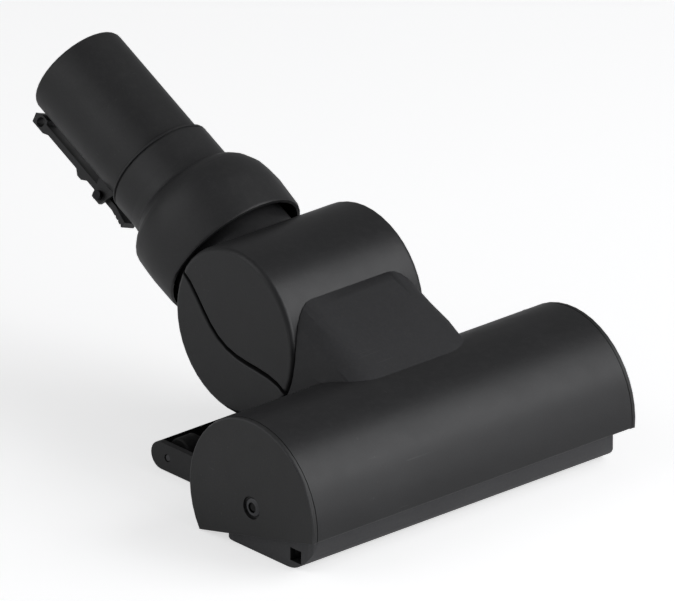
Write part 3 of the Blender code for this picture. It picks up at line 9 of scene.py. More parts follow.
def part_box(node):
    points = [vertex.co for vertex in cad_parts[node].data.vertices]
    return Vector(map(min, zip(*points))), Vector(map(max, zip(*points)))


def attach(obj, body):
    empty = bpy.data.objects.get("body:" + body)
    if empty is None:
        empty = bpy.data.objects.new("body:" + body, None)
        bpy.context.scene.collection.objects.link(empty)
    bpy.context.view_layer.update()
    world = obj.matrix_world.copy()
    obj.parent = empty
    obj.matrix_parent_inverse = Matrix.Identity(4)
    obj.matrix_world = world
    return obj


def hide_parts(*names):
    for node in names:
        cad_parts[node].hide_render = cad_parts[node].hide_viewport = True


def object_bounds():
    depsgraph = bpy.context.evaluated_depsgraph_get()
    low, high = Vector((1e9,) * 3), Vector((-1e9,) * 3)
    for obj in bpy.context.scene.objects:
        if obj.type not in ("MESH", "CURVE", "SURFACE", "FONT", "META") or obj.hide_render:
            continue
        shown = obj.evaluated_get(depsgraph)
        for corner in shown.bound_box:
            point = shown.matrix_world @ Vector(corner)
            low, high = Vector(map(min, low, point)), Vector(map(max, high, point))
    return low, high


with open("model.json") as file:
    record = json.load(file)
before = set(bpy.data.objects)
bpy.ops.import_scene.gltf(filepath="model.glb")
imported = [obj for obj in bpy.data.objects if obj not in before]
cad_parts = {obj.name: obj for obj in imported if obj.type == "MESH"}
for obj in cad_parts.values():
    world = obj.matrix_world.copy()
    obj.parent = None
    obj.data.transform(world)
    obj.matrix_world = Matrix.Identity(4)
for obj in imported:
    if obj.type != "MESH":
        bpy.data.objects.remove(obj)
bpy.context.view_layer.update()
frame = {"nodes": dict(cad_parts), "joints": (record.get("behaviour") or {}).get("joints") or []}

joint_at = {joint["name"]: Vector(joint["pos_m"]) for joint in frame["joints"]}
roller_centre = joint_at["brush_spin"]
drum_centre = joint_at["elbow_pitch"]


# Head cover
# The D-shaped top shell over the roller is injection moulded in black ABS.
# Its mould was spark eroded and lightly polished, so it is satin with a fine even grain.
def add_node(tree, kind, **values):
    """A node of the tree, with its properties set by attribute."""
    node = tree.nodes.new(kind)
    for name, value in values.items():
        setattr(node, name, value)
    return node


def join_up(tree, *pairs):
    for start, end in pairs:
        tree.links.new(start, end)


def new_group(name, inputs, outputs):
    group = bpy.data.node_groups.new(name, "ShaderNodeTree")
    for label, kind, value in inputs:
        socket = group.interface.new_socket(label, in_out="INPUT", socket_type=kind)
        socket.default_value = value
    for label, kind in outputs:
        group.interface.new_socket(label, in_out="OUTPUT", socket_type=kind)
    return group, add_node(group, "NodeGroupInput"), add_node(group, "NodeGroupOutput")


def mix_colours(tree, blend, amount, first, second):
    mix = add_node(tree, "ShaderNodeMix", data_type="RGBA", blend_type=blend)
    for socket, value in ((mix.inputs[0], amount), (mix.inputs[6], first), (mix.inputs[7], second)):
        if hasattr(value, "is_output"):
            tree.links.new(value, socket)
        else:
            socket.default_value = value
    return mix.outputs[2]


def calculate(tree, operation, first, second, clamp=False):
    node = add_node(tree, "ShaderNodeMath", operation=operation, use_clamp=clamp)
    for socket, value in ((node.inputs[0], first), (node.inputs[1], second)):
        if hasattr(value, "is_output"):
            tree.links.new(value, socket)
        else:
            socket.default_value = value
    return node.outputs[0]


def spread(tree, value, low, high, to_low, to_high):
    node = add_node(tree, "ShaderNodeMapRange")
    tree.links.new(value, node.inputs["Value"])
    for label, number in (("From Min", low), ("From Max", high), ("To Min", to_low), ("To Max", to_high)):
        node.inputs[label].default_value = number
    return node.outputs["Result"]


def noise(tree, where, scale, detail=3.0, stretch=None):
    if stretch is not None:
        mapping = add_node(tree, "ShaderNodeMapping")
        mapping.inputs["Scale"].default_value = stretch
        tree.links.new(where, mapping.inputs["Vector"])
        where = mapping.outputs["Vector"]
    node = add_node(tree, "ShaderNodeTexNoise")
    if hasattr(scale, "is_output"):
        tree.links.new(scale, node.inputs["Scale"])
    else:
        node.inputs["Scale"].default_value = scale
    node.inputs["Detail"].default_value = detail
    tree.links.new(where, node.inputs["Vector"])
    return node.outputs["Fac"]


def make_moulded_skin():
    """Eroded mould grain with slow flow shading, as on injection moulded housings."""
    group, given, result = new_group(
        "moulded_skin",
        [("Colour", "NodeSocketColor", (0.03, 0.03, 0.032, 1)), ("Tone", "NodeSocketFloat", 0.12),
         ("Grain Size", "NodeSocketFloat", 1500.0), ("Grain Depth", "NodeSocketFloat", 0.25),
         ("Roughness", "NodeSocketFloat", 0.4), ("Roughness Spread", "NodeSocketFloat", 0.03)],
        [("Colour", "NodeSocketColor"), ("Roughness", "NodeSocketFloat"), ("Normal", "NodeSocketVector")])
    where = add_node(group, "ShaderNodeTexCoord").outputs["Object"]
    slow = noise(group, where, 22.0, 3.0)
    cloud = noise(group, where, 140.0, 4.0)
    fine = noise(group, where, given.outputs["Grain Size"], 2.0)
    cells = add_node(group, "ShaderNodeTexVoronoi", feature="SMOOTH_F1")
    join_up(group, (where, cells.inputs["Vector"]), (given.outputs["Grain Size"], cells.inputs["Scale"]))
    shade = calculate(group, "ADD", calculate(group, "MULTIPLY", slow, 0.65), calculate(group, "MULTIPLY", cloud, 0.35))
    lift = calculate(group, "MULTIPLY", spread(group, shade, 0.3, 0.7, -1.0, 1.0), given.outputs["Tone"])
    factor = calculate(group, "ADD", lift, 1.0)
    scale = add_node(group, "ShaderNodeVectorMath", operation="SCALE")
    join_up(group, (given.outputs["Colour"], scale.inputs[0]), (factor, scale.inputs["Scale"]))
    fleck = spread(group, fine, 0.35, 0.65, 0.94, 1.06)
    speck = add_node(group, "ShaderNodeVectorMath", operation="SCALE")
    join_up(group, (scale.outputs[0], speck.inputs[0]), (fleck, speck.inputs["Scale"]))
    rough = calculate(group, "MULTIPLY", spread(group, cloud, 0.3, 0.7, -1.0, 1.0), given.outputs["Roughness Spread"])
    height = calculate(group, "ADD", calculate(group, "MULTIPLY", fine, 0.6), cells.outputs["Distance"])
    bump = add_node(group, "ShaderNodeBump")
    bump.inputs["Distance"].default_value = 0.00006
    join_up(group, (given.outputs["Grain Depth"], bump.inputs["Strength"]), (height, bump.inputs["Height"]),
            (speck.outputs[0], result.inputs["Colour"]),
            (calculate(group, "ADD", rough, given.outputs["Roughness"], True), result.inputs["Roughness"]),
            (bump.outputs["Normal"], result.inputs["Normal"]))
    return group


def make_use_marks():
    """Hairline scratches and rubbed, paler patches that a used housing picks up."""
    group, given, result = new_group(
        "use_marks",
        [("Colour", "NodeSocketColor", (0.03, 0.03, 0.032, 1)), ("Roughness", "NodeSocketFloat", 0.4),
         ("Scratches", "NodeSocketFloat", 0.3), ("Rub", "NodeSocketFloat", 0.3), ("Dust", "NodeSocketFloat", 0.1)],
        [("Colour", "NodeSocketColor"), ("Roughness", "NodeSocketFloat")])
    where = add_node(group, "ShaderNodeTexCoord").outputs["Object"]
    along = noise(group, where, 60.0, 2.0, (0.6, 14.0, 14.0))
    across = noise(group, where, 70.0, 2.0, (12.0, 1.0, 9.0))
    lines = calculate(group, "MAXIMUM", spread(group, along, 0.70, 0.74, 0.0, 1.0),
                      spread(group, across, 0.72, 0.76, 0.0, 1.0))
    gate = spread(group, noise(group, where, 35.0, 1.0), 0.5, 0.62, 0.0, 1.0)
    scratch = calculate(group, "MULTIPLY", calculate(group, "MULTIPLY", lines, gate), given.outputs["Scratches"], True)
    patch = spread(group, noise(group, where, 34.0, 5.0), 0.50, 0.75, 0.0, 1.0)
    rub = calculate(group, "MULTIPLY", patch, given.outputs["Rub"], True)
    facing = add_node(group, "ShaderNodeSeparateXYZ")
    join_up(group, (add_node(group, "ShaderNodeNewGeometry").outputs["Normal"], facing.inputs[0]))
    settle = spread(group, facing.outputs["Z"], 0.35, 1.0, 0.0, 1.0)
    flecks = spread(group, noise(group, where, 420.0, 4.0), 0.48, 0.68, 0.15, 1.0)
    dust = calculate(group, "MULTIPLY", calculate(group, "MULTIPLY", settle, flecks), given.outputs["Dust"], True)
    colour = mix_colours(group, "MIX", scratch, given.outputs["Colour"], (0.16, 0.16, 0.165, 1))
    colour = mix_colours(group, "MIX", calculate(group, "MULTIPLY", rub, 0.25), colour, (0.11, 0.11, 0.115, 1))
    colour = mix_colours(group, "MIX", dust, colour, (0.24, 0.23, 0.22, 1))
    polish = calculate(group, "SUBTRACT", given.outputs["Roughness"], calculate(group, "MULTIPLY", rub, 0.05))
    rough = calculate(group, "ADD", polish, calculate(group, "MULTIPLY", dust, 0.5), True)
    join_up(group, (colour, result.inputs["Colour"]), (rough, result.inputs["Roughness"]))
    return group


moulded_skin = make_moulded_skin()
use_marks = make_use_marks()


def moulded_plastic(name, colour, roughness, grain=1500.0, depth=0.25, tone=0.07, marks=(0.15, 0.2, 0.03)):
    """A moulded plastic with mould grain and marks of use."""
    material = bpy.data.materials.new(name)
    material.use_nodes = True
    tree = material.node_tree
    shader = tree.nodes["Principled BSDF"]
    skin = add_node(tree, "ShaderNodeGroup", node_tree=moulded_skin)
    for label, value in (("Colour", (*colour, 1)), ("Tone", tone), ("Grain Size", grain), ("Grain Depth", depth),
                         ("Roughness", roughness)):
        skin.inputs[label].default_value = value
    used = add_node(tree, "ShaderNodeGroup", node_tree=use_marks)
    for label, value in zip(("Scratches", "Rub", "Dust"), marks):
        used.inputs[label].default_value = value
    join_up(tree, (skin.outputs["Colour"], used.inputs["Colour"]),
            (skin.outputs["Roughness"], used.inputs["Roughness"]),
            (used.outputs["Colour"], shader.inputs["Base Color"]),
            (used.outputs["Roughness"], shader.inputs["Roughness"]),
            (skin.outputs["Normal"], shader.inputs["Normal"]))
    shader.inputs["IOR"].default_value = 1.5
    return material


def keep_walls_flat(mesh, least_agreement=0.7):
    """Each smooth corner takes the normals of the faces round it by their areas, so wide walls stay flat."""
    fans = bmesh.new()
    fans.from_mesh(mesh)
    weighed = {}
    for point in fans.verts:
        waiting = list(point.link_faces)
        while waiting:
            fan = [waiting.pop(0)]
            for face in fan:
                for edge in face.edges:
                    if edge.smooth and point in edge.verts:
                        for other in edge.link_faces:
                            if other in waiting:
                                waiting.remove(other)
                                fan.append(other)
            total = Vector((0, 0, 0))
            for face in fan:
                total += face.normal * face.calc_area()
            total.normalize()
            for face in fan:
                agrees = face.normal.dot(total) > least_agreement
                weighed[face.index, point.index] = total if agrees else face.normal.copy()
    fans.free()
    corners = []
    for face in mesh.polygons:
        corners.extend(weighed[face.index, vertex] for vertex in face.vertices)
    mesh.normals_split_custom_set(corners)


weld_reach = 2e-6
flat_angle = math.radians(0.5)
edge_angle = math.radians(40)


def fitted(name, node, body, material, edge=0.0, angle=32.0, carve=None, inside=None):
    """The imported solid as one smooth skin, with its moulded edges rounded."""
    mesh = bpy.data.meshes.new(name)
    maker = bmesh.new()
    maker.from_mesh(frame["nodes"][node].data)
    bmesh.ops.remove_doubles(maker, verts=maker.verts, dist=weld_reach)
    bmesh.ops.dissolve_limit(maker, angle_limit=flat_angle, verts=maker.verts, edges=maker.edges)
    if carve:
        carve(maker)
    maker.to_mesh(mesh)
    maker.free()
    piece = bpy.data.objects.new(name, mesh)
    bpy.context.collection.objects.link(piece)
    mesh.materials.append(material)
    if inside:
        mesh.materials.append(inside)
    mesh.shade_smooth()
    mesh.set_sharp_from_angle(angle=math.radians(angle))
    if edge == 0:
        keep_walls_flat(mesh)
    else:
        bevel = piece.modifiers.new("moulded_edges", "BEVEL")
        bevel.limit_method = "ANGLE"
        bevel.angle_limit = edge_angle
        bevel.width = edge
        bevel.segments = 2
        bevel.harden_normals = True
    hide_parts(node)
    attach(piece, body)
    return piece


def shade_round(piece, centre, along, narrowest=0.001, widest=0.035, slack=0.0001, tilt=0.02):
    """Faces that lie round an axis at one radius are lit as a true cylinder."""
    mesh = piece.data
    normals = [Vector(corner.vector) for corner in mesh.corner_normals]
    for face in mesh.polygons:
        arms = []
        for index in face.vertices:
            reach = mesh.vertices[index].co - centre
            arms.append(reach - along * reach.dot(along))
        radii = [arm.length for arm in arms]
        uneven = max(radii) - min(radii) > slack or max(radii) > widest
        if uneven or min(radii) < narrowest or abs(face.normal.dot(along)) > tilt:
            continue
        facing = 1 if face.normal.dot(arms[0]) > 0 else -1
        for corner, arm in zip(face.loop_indices, arms):
            normals[corner] = arm.normalized() * facing
    mesh.normals_split_custom_set(normals)


satin_black = moulded_plastic("satin_black", (0.022, 0.022, 0.0232), 0.40, 1700.0, 0.25, 0.07)
lengthwise = Vector((1, 0, 0))
head_radius = 0.0335
lip_round = 0.0012
corner_reach = 0.0002


def round_lower_lips(maker):
    """Rounds the two long edges where the round skin ends above the floor."""
    lips = []
    for edge in maker.edges:
        start, end = (point.co - roller_centre for point in edge.verts)
        level_run = abs(end.x - start.x) > 0.99 * edge.calc_length()
        radius = Vector((0, start.y, start.z)).length
        if level_run and abs(radius - head_radius) < corner_reach and len(edge.link_faces) == 2:
            if edge.calc_face_angle() > edge_angle:
                lips.append(edge)
    bmesh.ops.bevel(maker, geom=lips, offset=lip_round, segments=3, profile=0.5, affect="EDGES")


cover = fitted("cover_shell", "head_cover", "head", satin_black, carve=round_lower_lips)
shade_round(cover, roller_centre, lengthwise)

# End caps
# A flat D-shaped plate closes each end of the head, pressed in by a spigot.
# It is the same ABS with a slightly coarser grain, and its outer edge is rounded over; a band round that edge is
# painted lighter as a painted highlight, and is glossier.
cap_black = moulded_plastic("cap_black", (0.024, 0.024, 0.0242), 0.46, 1250.0, 0.30)
# Rim material: its lighter colour is a painted highlight, and it is glossier than the cap face.
cap_rim_highlight = moulded_plastic("cap_rim_highlight", (0.046, 0.046, 0.048), 0.30, 1250.0, 0.12)
cap_outside = 0.0775
recess_radius = 0.0034
recess_growth = 1.29
recess_depth = 0.0015
highlight_rim_width = 0.0009


def finish_cap(maker):
    """Rounds the cap's lower corners, opens its screw recess and gives its outer edge a band painted lighter as a
    highlight.
    """
    round_lower_lips(maker)
    for point in maker.verts:
        arm = Vector((0, point.co.y - roller_centre.y, point.co.z - roller_centre.z))
        if abs(arm.length - recess_radius) < corner_reach and abs(point.co.x) > cap_outside - recess_depth:
            point.co += arm * (recess_growth - 1)
    maker.normal_update()
    # Faces round the outer edge take the lighter rim material: a painted highlight.
    for face in maker.faces:
        middle = face.calc_center_median() - roller_centre
        radius = Vector((0, middle.y, middle.z)).length
        if 0.2 < abs(face.normal.x) < 0.97 and radius > head_radius - highlight_rim_width:
            face.material_index = 1


for side in ("left", "right"):
    fitted(side + "_cap_plate", side + "_end_cap", "head", cap_black, carve=finish_cap, inside=cap_rim_highlight)

# Cap screws and roller bearings
# A steel machine screw with a hexagon socket holds each cap, sunk in a small recess.
# Behind it, a sintered bronze bush carries the roller's steel axle.


def plain_metal(name, colour, roughness, brushing):
    """Turned or rolled metal, with fine lines and slow staining."""
    material = bpy.data.materials.new(name)
    material.use_nodes = True
    tree = material.node_tree
    shader = tree.nodes["Principled BSDF"]
    shader.inputs["Metallic"].default_value = 1.0
    where = add_node(tree, "ShaderNodeTexCoord").outputs["Object"]
    lines = noise(tree, where, 260.0, 3.0, brushing)
    stain = noise(tree, where, 90.0, 4.0)
    darker = tuple(0.62 * part for part in colour)
    tint = mix_colours(tree, "MIX", spread(tree, stain, 0.42, 0.7, 0.0, 0.8), (*colour, 1), (*darker, 1))
    rough = calculate(tree, "ADD", spread(tree, lines, 0.3, 0.7, -0.06, 0.08), roughness, True)
    bump = add_node(tree, "ShaderNodeBump")
    bump.inputs["Distance"].default_value = 0.00002
    bump.inputs["Strength"].default_value = 0.4
    join_up(tree, (lines, bump.inputs["Height"]), (bump.outputs["Normal"], shader.inputs["Normal"]),
            (tint, shader.inputs["Base Color"]), (rough, shader.inputs["Roughness"]))
    return material


deep_shadow = moulded_plastic("deep_shadow", (0.004, 0.004, 0.004), 0.8, 1000.0, 0.3, 0.1, (0.0, 0.1, 0.02))
dark_steel = plain_metal("dark_steel", (0.035, 0.035, 0.037), 0.45, (12.0, 1.0, 1.0))
blued_steel = plain_metal("blued_steel", (0.13, 0.13, 0.135), 0.50, (12.0, 1.0, 1.0))
bright_steel = plain_metal("bright_steel", (0.50, 0.50, 0.51), 0.28, (12.0, 1.0, 1.0))
bush_bronze = plain_metal("bush_bronze", (0.36, 0.25, 0.13), 0.42, (1.0, 1.0, 1.0))
screw_bore = 0.0018
socket_radius = 0.00118
socket_growth = 1.7
socket_slack = 0.00005
socket_mouth = 0.0004


def spread_screw_head(maker):
    """Lets the head fill the cap's recess, with a wide socket painted near-black inside as shade."""
    for point in maker.verts:
        arm = Vector((0, point.co.y - roller_centre.y, point.co.z - roller_centre.z))
        if arm.length > screw_bore:
            point.co += arm * (recess_growth - 1)
        elif abs(arm.length - socket_radius) < socket_slack:
            point.co += arm * (socket_growth - 1)
    maker.normal_update()
    # The socket's inner faces take the near-black material: painted shade.
    for face in maker.faces:
        middle = face.calc_center_median() - roller_centre
        radius = Vector((0, middle.y, middle.z)).length
        if radius < socket_radius * socket_growth and abs(middle.x) < cap_outside - socket_mouth:
            face.material_index = 1


for side in ("left", "right"):
    fitted(side + "_cap_screw", "end_cap_screw_" + side, "head", blued_steel, carve=spread_screw_head,
           inside=deep_shadow)
    fitted(side + "_roller_bush", "roller_bearing_" + side, "head", bush_bronze, 0.0002)
fitted("roller_axle", "brush_axle", "brush", bright_steel)

# Brush roller
# A black plastic core turns on the axle, with a toothed pulley moulded near its middle.
# Two helical rows of nylon tufts are stapled into its seats, in two lines each.
core_black = moulded_plastic("core_black", (0.014, 0.014, 0.015), 0.48, 1300.0, 0.3)
pulley_grey = moulded_plastic("pulley_grey", (0.052, 0.052, 0.056), 0.40, 1600.0, 0.15)
fitted("roller_core", "brush_core", "brush", core_black, 0.0002)
fitted("roller_pulley", "brush_pulley", "brush", pulley_grey)

bristle_root = 0.0062
bristle_tip = 0.0174
bristle_pitch = 0.0021
bristle_turns = 0.55
bristle_span = 0.128
bristle_end = 0.0630
belt_margin = 0.0012
tuft_radius = 0.00085
tuft_filaments = 19
tuft_lean = 0.055
filament_radius = 0.00013
filament_taper = 0.55
golden_angle = 2.39996
first_seed = 3
nylon = bpy.data.materials.new("nylon_bristle")
nylon.use_nodes = True
nylon_tree = nylon.node_tree
nylon_shader = nylon_tree.nodes["Principled BSDF"]
nylon_where = add_node(nylon_tree, "ShaderNodeTexCoord").outputs["Object"]
nylon_shade = noise(nylon_tree, nylon_where, 700.0, 2.0)
nylon_tint = mix_colours(nylon_tree, "MIX", spread(nylon_tree, nylon_shade, 0.35, 0.65, 0.0, 1.0),
                         (0.016, 0.016, 0.017, 1), (0.052, 0.052, 0.056, 1))
join_up(nylon_tree, (nylon_tint, nylon_shader.inputs["Base Color"]),
        (spread(nylon_tree, nylon_shade, 0.3, 0.7, 0.34, 0.52), nylon_shader.inputs["Roughness"]))


def new_geometry_tree(name, inputs):
    tree = bpy.data.node_groups.new(name, "GeometryNodeTree")
    tree.interface.new_socket("Geometry", in_out="INPUT", socket_type="NodeSocketGeometry")
    for label, kind, value in inputs:
        tree.interface.new_socket(label, in_out="INPUT", socket_type=kind).default_value = value
    tree.interface.new_socket("Geometry", in_out="OUTPUT", socket_type="NodeSocketGeometry")
    return tree, add_node(tree, "NodeGroupInput").outputs, add_node(tree, "NodeGroupOutput").inputs["Geometry"]


def grown(name, tree, values, material, body, nodes):
    """Runs a Geometry Nodes tree and keeps its result as a plain mesh."""
    holder = bpy.data.objects.new(name + "_holder", bpy.data.meshes.new(name + "_base"))
    bpy.context.collection.objects.link(holder)
    change = holder.modifiers.new("growth", "NODES")
    change.node_group = tree
    labels = {item.name: item.identifier for item in tree.interface.items_tree if item.in_out == "INPUT"}
    for label, value in values.items():
        change[labels[label]] = value
    view = bpy.context.evaluated_depsgraph_get()
    mesh = bpy.data.meshes.new_from_object(holder.evaluated_get(view))
    bpy.data.objects.remove(holder)
    mesh.name = name
    mesh.materials.clear()
    mesh.materials.append(material)
    piece = bpy.data.objects.new(name, mesh)
    bpy.context.collection.objects.link(piece)
    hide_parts(*nodes)
    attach(piece, body)
    return piece


def make_bristle_rows():
    """Tufts along a helix: a line of points, wound round the axis, with a tuft on each."""
    tree, given, result = new_geometry_tree("bristle_rows", [
        ("Start", "NodeSocketFloat", 0.0), ("Tufts", "NodeSocketInt", 20), ("Pitch", "NodeSocketFloat", 0.002),
        ("Root", "NodeSocketFloat", 0.006), ("Length", "NodeSocketFloat", 0.011),
        ("Turns per Metre", "NodeSocketFloat", 4.3), ("Start Turn", "NodeSocketFloat", 0.0),
        ("Side Shift", "NodeSocketFloat", 0.0), ("Filaments", "NodeSocketInt", 17),
        ("Tuft Radius", "NodeSocketFloat", 0.0008), ("Filament Radius", "NodeSocketFloat", 0.00016),
        ("Seed", "NodeSocketInt", 1)])
    line = add_node(tree, "GeometryNodeMeshLine", mode="OFFSET")
    join_up(tree, (given["Tufts"], line.inputs["Count"]))
    order = add_node(tree, "GeometryNodeInputIndex").outputs[0]
    run = calculate(tree, "ADD", given["Start"], calculate(tree, "MULTIPLY", order, given["Pitch"]))
    turn = calculate(tree, "ADD", given["Start Turn"], calculate(tree, "MULTIPLY", run, given["Turns per Metre"]))
    angle = calculate(tree, "MULTIPLY", turn, 2 * math.pi)
    sine = calculate(tree, "SINE", angle, 0.0)
    cosine = calculate(tree, "COSINE", angle, 0.0)
    out = add_node(tree, "ShaderNodeCombineXYZ")
    join_up(tree, (calculate(tree, "MULTIPLY", sine, -1.0), out.inputs["Y"]), (cosine, out.inputs["Z"]))
    aside = add_node(tree, "ShaderNodeCombineXYZ")
    join_up(tree, (cosine, aside.inputs["Y"]), (sine, aside.inputs["Z"]))
    up = add_node(tree, "ShaderNodeVectorMath", operation="SCALE")
    join_up(tree, (out.outputs[0], up.inputs[0]), (given["Root"], up.inputs["Scale"]))
    over = add_node(tree, "ShaderNodeVectorMath", operation="SCALE")
    join_up(tree, (aside.outputs[0], over.inputs[0]), (given["Side Shift"], over.inputs["Scale"]))
    base = add_node(tree, "ShaderNodeCombineXYZ")
    join_up(tree, (run, base.inputs["X"]))
    first = add_node(tree, "ShaderNodeVectorMath", operation="ADD")
    join_up(tree, (up.outputs[0], first.inputs[0]), (over.outputs[0], first.inputs[1]))
    spot = add_node(tree, "ShaderNodeVectorMath", operation="ADD")
    join_up(tree, (first.outputs[0], spot.inputs[0]), (base.outputs[0], spot.inputs[1]))
    place = add_node(tree, "GeometryNodeSetPosition")
    join_up(tree, (line.outputs[0], place.inputs["Geometry"]), (spot.outputs[0], place.inputs["Position"]))
    aim = add_node(tree, "FunctionNodeAlignRotationToVector", axis="Z")
    join_up(tree, (out.outputs[0], aim.inputs["Vector"]))

    filament = add_node(tree, "GeometryNodeMeshCone", fill_type="NONE")
    filament.inputs["Vertices"].default_value = 4
    join_up(tree, (given["Filament Radius"], filament.inputs["Radius Bottom"]),
            (given["Length"], filament.inputs["Depth"]))
    tip = calculate(tree, "MULTIPLY", given["Filament Radius"], filament_taper)
    join_up(tree, (tip, filament.inputs["Radius Top"]))
    ring = add_node(tree, "GeometryNodeMeshLine", mode="OFFSET")
    join_up(tree, (given["Filaments"], ring.inputs["Count"]))
    number = add_node(tree, "GeometryNodeInputIndex").outputs[0]
    share = calculate(tree, "DIVIDE", calculate(tree, "ADD", number, 0.5), given["Filaments"])
    reach = calculate(tree, "MULTIPLY", given["Tuft Radius"], calculate(tree, "SQRT", share, 0.0))
    swing = calculate(tree, "MULTIPLY", number, golden_angle)
    seat = add_node(tree, "ShaderNodeCombineXYZ")
    join_up(tree, (calculate(tree, "MULTIPLY", reach, calculate(tree, "COSINE", swing, 0.0)), seat.inputs["X"]),
            (calculate(tree, "MULTIPLY", reach, calculate(tree, "SINE", swing, 0.0)), seat.inputs["Y"]))
    seats = add_node(tree, "GeometryNodeSetPosition")
    join_up(tree, (ring.outputs[0], seats.inputs["Geometry"]), (seat.outputs[0], seats.inputs["Position"]))
    lean = add_node(tree, "FunctionNodeRandomValue", data_type="FLOAT_VECTOR")
    lean.inputs["Min"].default_value = (-tuft_lean, -tuft_lean, 0.0)
    lean.inputs["Max"].default_value = (tuft_lean, tuft_lean, 3.14)
    join_up(tree, (given["Seed"], lean.inputs["Seed"]))
    tuft = add_node(tree, "GeometryNodeInstanceOnPoints")
    join_up(tree, (seats.outputs[0], tuft.inputs["Points"]), (filament.outputs["Mesh"], tuft.inputs["Instance"]),
            (lean.outputs["Value"], tuft.inputs["Rotation"]))
    rows = add_node(tree, "GeometryNodeInstanceOnPoints")
    join_up(tree, (place.outputs[0], rows.inputs["Points"]), (tuft.outputs[0], rows.inputs["Instance"]),
            (aim.outputs["Rotation"], rows.inputs["Rotation"]))
    real = add_node(tree, "GeometryNodeRealizeInstances")
    finish = add_node(tree, "GeometryNodeSetMaterial")
    finish.inputs["Material"].default_value = nylon
    join_up(tree, (rows.outputs[0], real.inputs[0]), (real.outputs[0], finish.inputs["Geometry"]),
            (finish.outputs[0], result))
    return tree


bristle_tree = make_bristle_rows()
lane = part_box("brush_pulley")
for side, low, high in (("left", -bristle_end, lane[0].x - belt_margin),
                        ("right", lane[1].x + belt_margin, bristle_end)):
    for row, letter in enumerate("ab"):
        count = int((high - low) / bristle_pitch) + 1
        piece = grown("bristle_row_%s_%s" % (side, letter), bristle_tree, {
            "Start": low, "Tufts": count, "Pitch": (high - low) / (count - 1), "Root": bristle_root,
            "Length": bristle_tip - bristle_root, "Turns per Metre": bristle_turns / bristle_span,
            "Start Turn": bristle_turns / 2 + row / 2, "Filaments": tuft_filaments, "Tuft Radius": tuft_radius,
            "Filament Radius": filament_radius, "Seed": row + first_seed},
            nylon, "brush", ["bristles_%s_%s" % (side, letter)])
        piece.data.transform(Matrix.Translation(roller_centre))

# Sole plate
# The wedge-shaped frame round the suction mouth is moulded in hard black plastic.
# It is held up into the cover by four countersunk screws, and its slots clean along skirtings.
sole_black = moulded_plastic("sole_black", (0.062, 0.062, 0.065), 0.52, 1100.0, 0.35, 0.10, (0.4, 0.5, 0.06))
slot_low = Vector((0.0550, -0.0418, 0.0012))
slot_high = Vector((0.0745, -0.0300, 0.0130))


def darken_end_slots(maker):
    """The insides of the two end slots, where the light hardly reaches."""
    maker.normal_update()
    for face in maker.faces:
        middle = face.calc_center_median()
        place = Vector((abs(middle.x), middle.y, middle.z))
        inside = all(low < part < high for low, part, high in zip(slot_low, place, slot_high))
        outward = face.normal.x * middle.x > 0 and abs(face.normal.x) > 0.3
        if inside and not outward:
            face.material_index = 1


fitted("sole_frame", "sole_plate", "head", sole_black, carve=darken_end_slots, inside=deep_shadow)
for number in (1, 2, 3, 4):
    fitted("sole_fastener_%d" % number, "sole_screw_%d" % number, "head", dark_steel, 0.0001)

# Neck duct
# The wedge-shaped duct carries the dirty air from the head to the drum.
# It is moulded in a matt ABS with a coarse eroded grain, and its top corners are rounded.
neck_matt = moulded_plastic("neck_matt", (0.030, 0.030, 0.032), 0.58, 1000.0, 0.45, 0.07, (0.08, 0.15, 0.02))
seat_gap = 0.00036
seat_reach = 0.0032
seat_sink = 0.00005


def seat_on_cover(maker):
    """The duct's foot is welded down to the cover, without the working gap of the solids."""
    foot = {}
    for point in maker.verts:
        arm = Vector((0, point.co.y - roller_centre.y, point.co.z - roller_centre.z))
        height = arm.length - head_radius
        if 0 < height < seat_reach:
            foot[point] = arm.normalized() * min(height + seat_sink, seat_gap * (1 - height / seat_reach) + seat_sink)
    touched = [face for face in maker.faces if any(point in foot for point in face.verts)]
    bmesh.ops.triangulate(maker, faces=touched)
    for point, sink in foot.items():
        point.co -= sink


fitted("neck_duct_shell", "neck_duct", "head", neck_matt, carve=seat_on_cover)

# Turbine and belt
# Air drawn through the drum spins a bladed acetal wheel on a steel shaft in two bearings.
# Its small pinion drives the roller by a toothed rubber belt.
turbine_grey = moulded_plastic("turbine_grey", (0.055, 0.055, 0.060), 0.36, 1800.0, 0.12)
fitted("turbine_blades", "turbine_wheel", "turbine", turbine_grey, 0.0001)
fitted("turbine_spindle", "turbine_shaft", "turbine", bright_steel)
fitted("turbine_drive_pinion", "turbine_pinion", "turbine", bush_bronze)
for side in ("left", "right"):
    fitted(side + "_turbine_race", "turbine_bearing_" + side, "head", bright_steel, 0.0002)
belt_rubber = moulded_plastic("belt_rubber", (0.010, 0.010, 0.010), 0.72, 900.0, 0.5, 0.2, (0.1, 0.3, 0.05))
fitted("toothed_belt", "drive_belt", "head", belt_rubber)

# Drum shells
# The drum is an elbow in two halves, parted along an S-shaped seam and clipped together.
# It pitches on the neck's trunnions, and its stub carries the swivel collar.
drum_black = moulded_plastic("drum_black", (0.022, 0.022, 0.0232), 0.38, 1700.0, 0.25, 0.07)
tube_line = Vector([joint["axis"] for joint in frame["joints"] if joint["name"] == "tube_swivel"][0]).normalized()
drum_radius = 0.0319
drum_half_length = 0.0320
seam_round = 0.0007
seam_widening = 0.00035
widened_depth = 0.0040
widened_height = 0.0200
face_slack = 0.0002
skin_share = 0.985
inner_share = 0.97


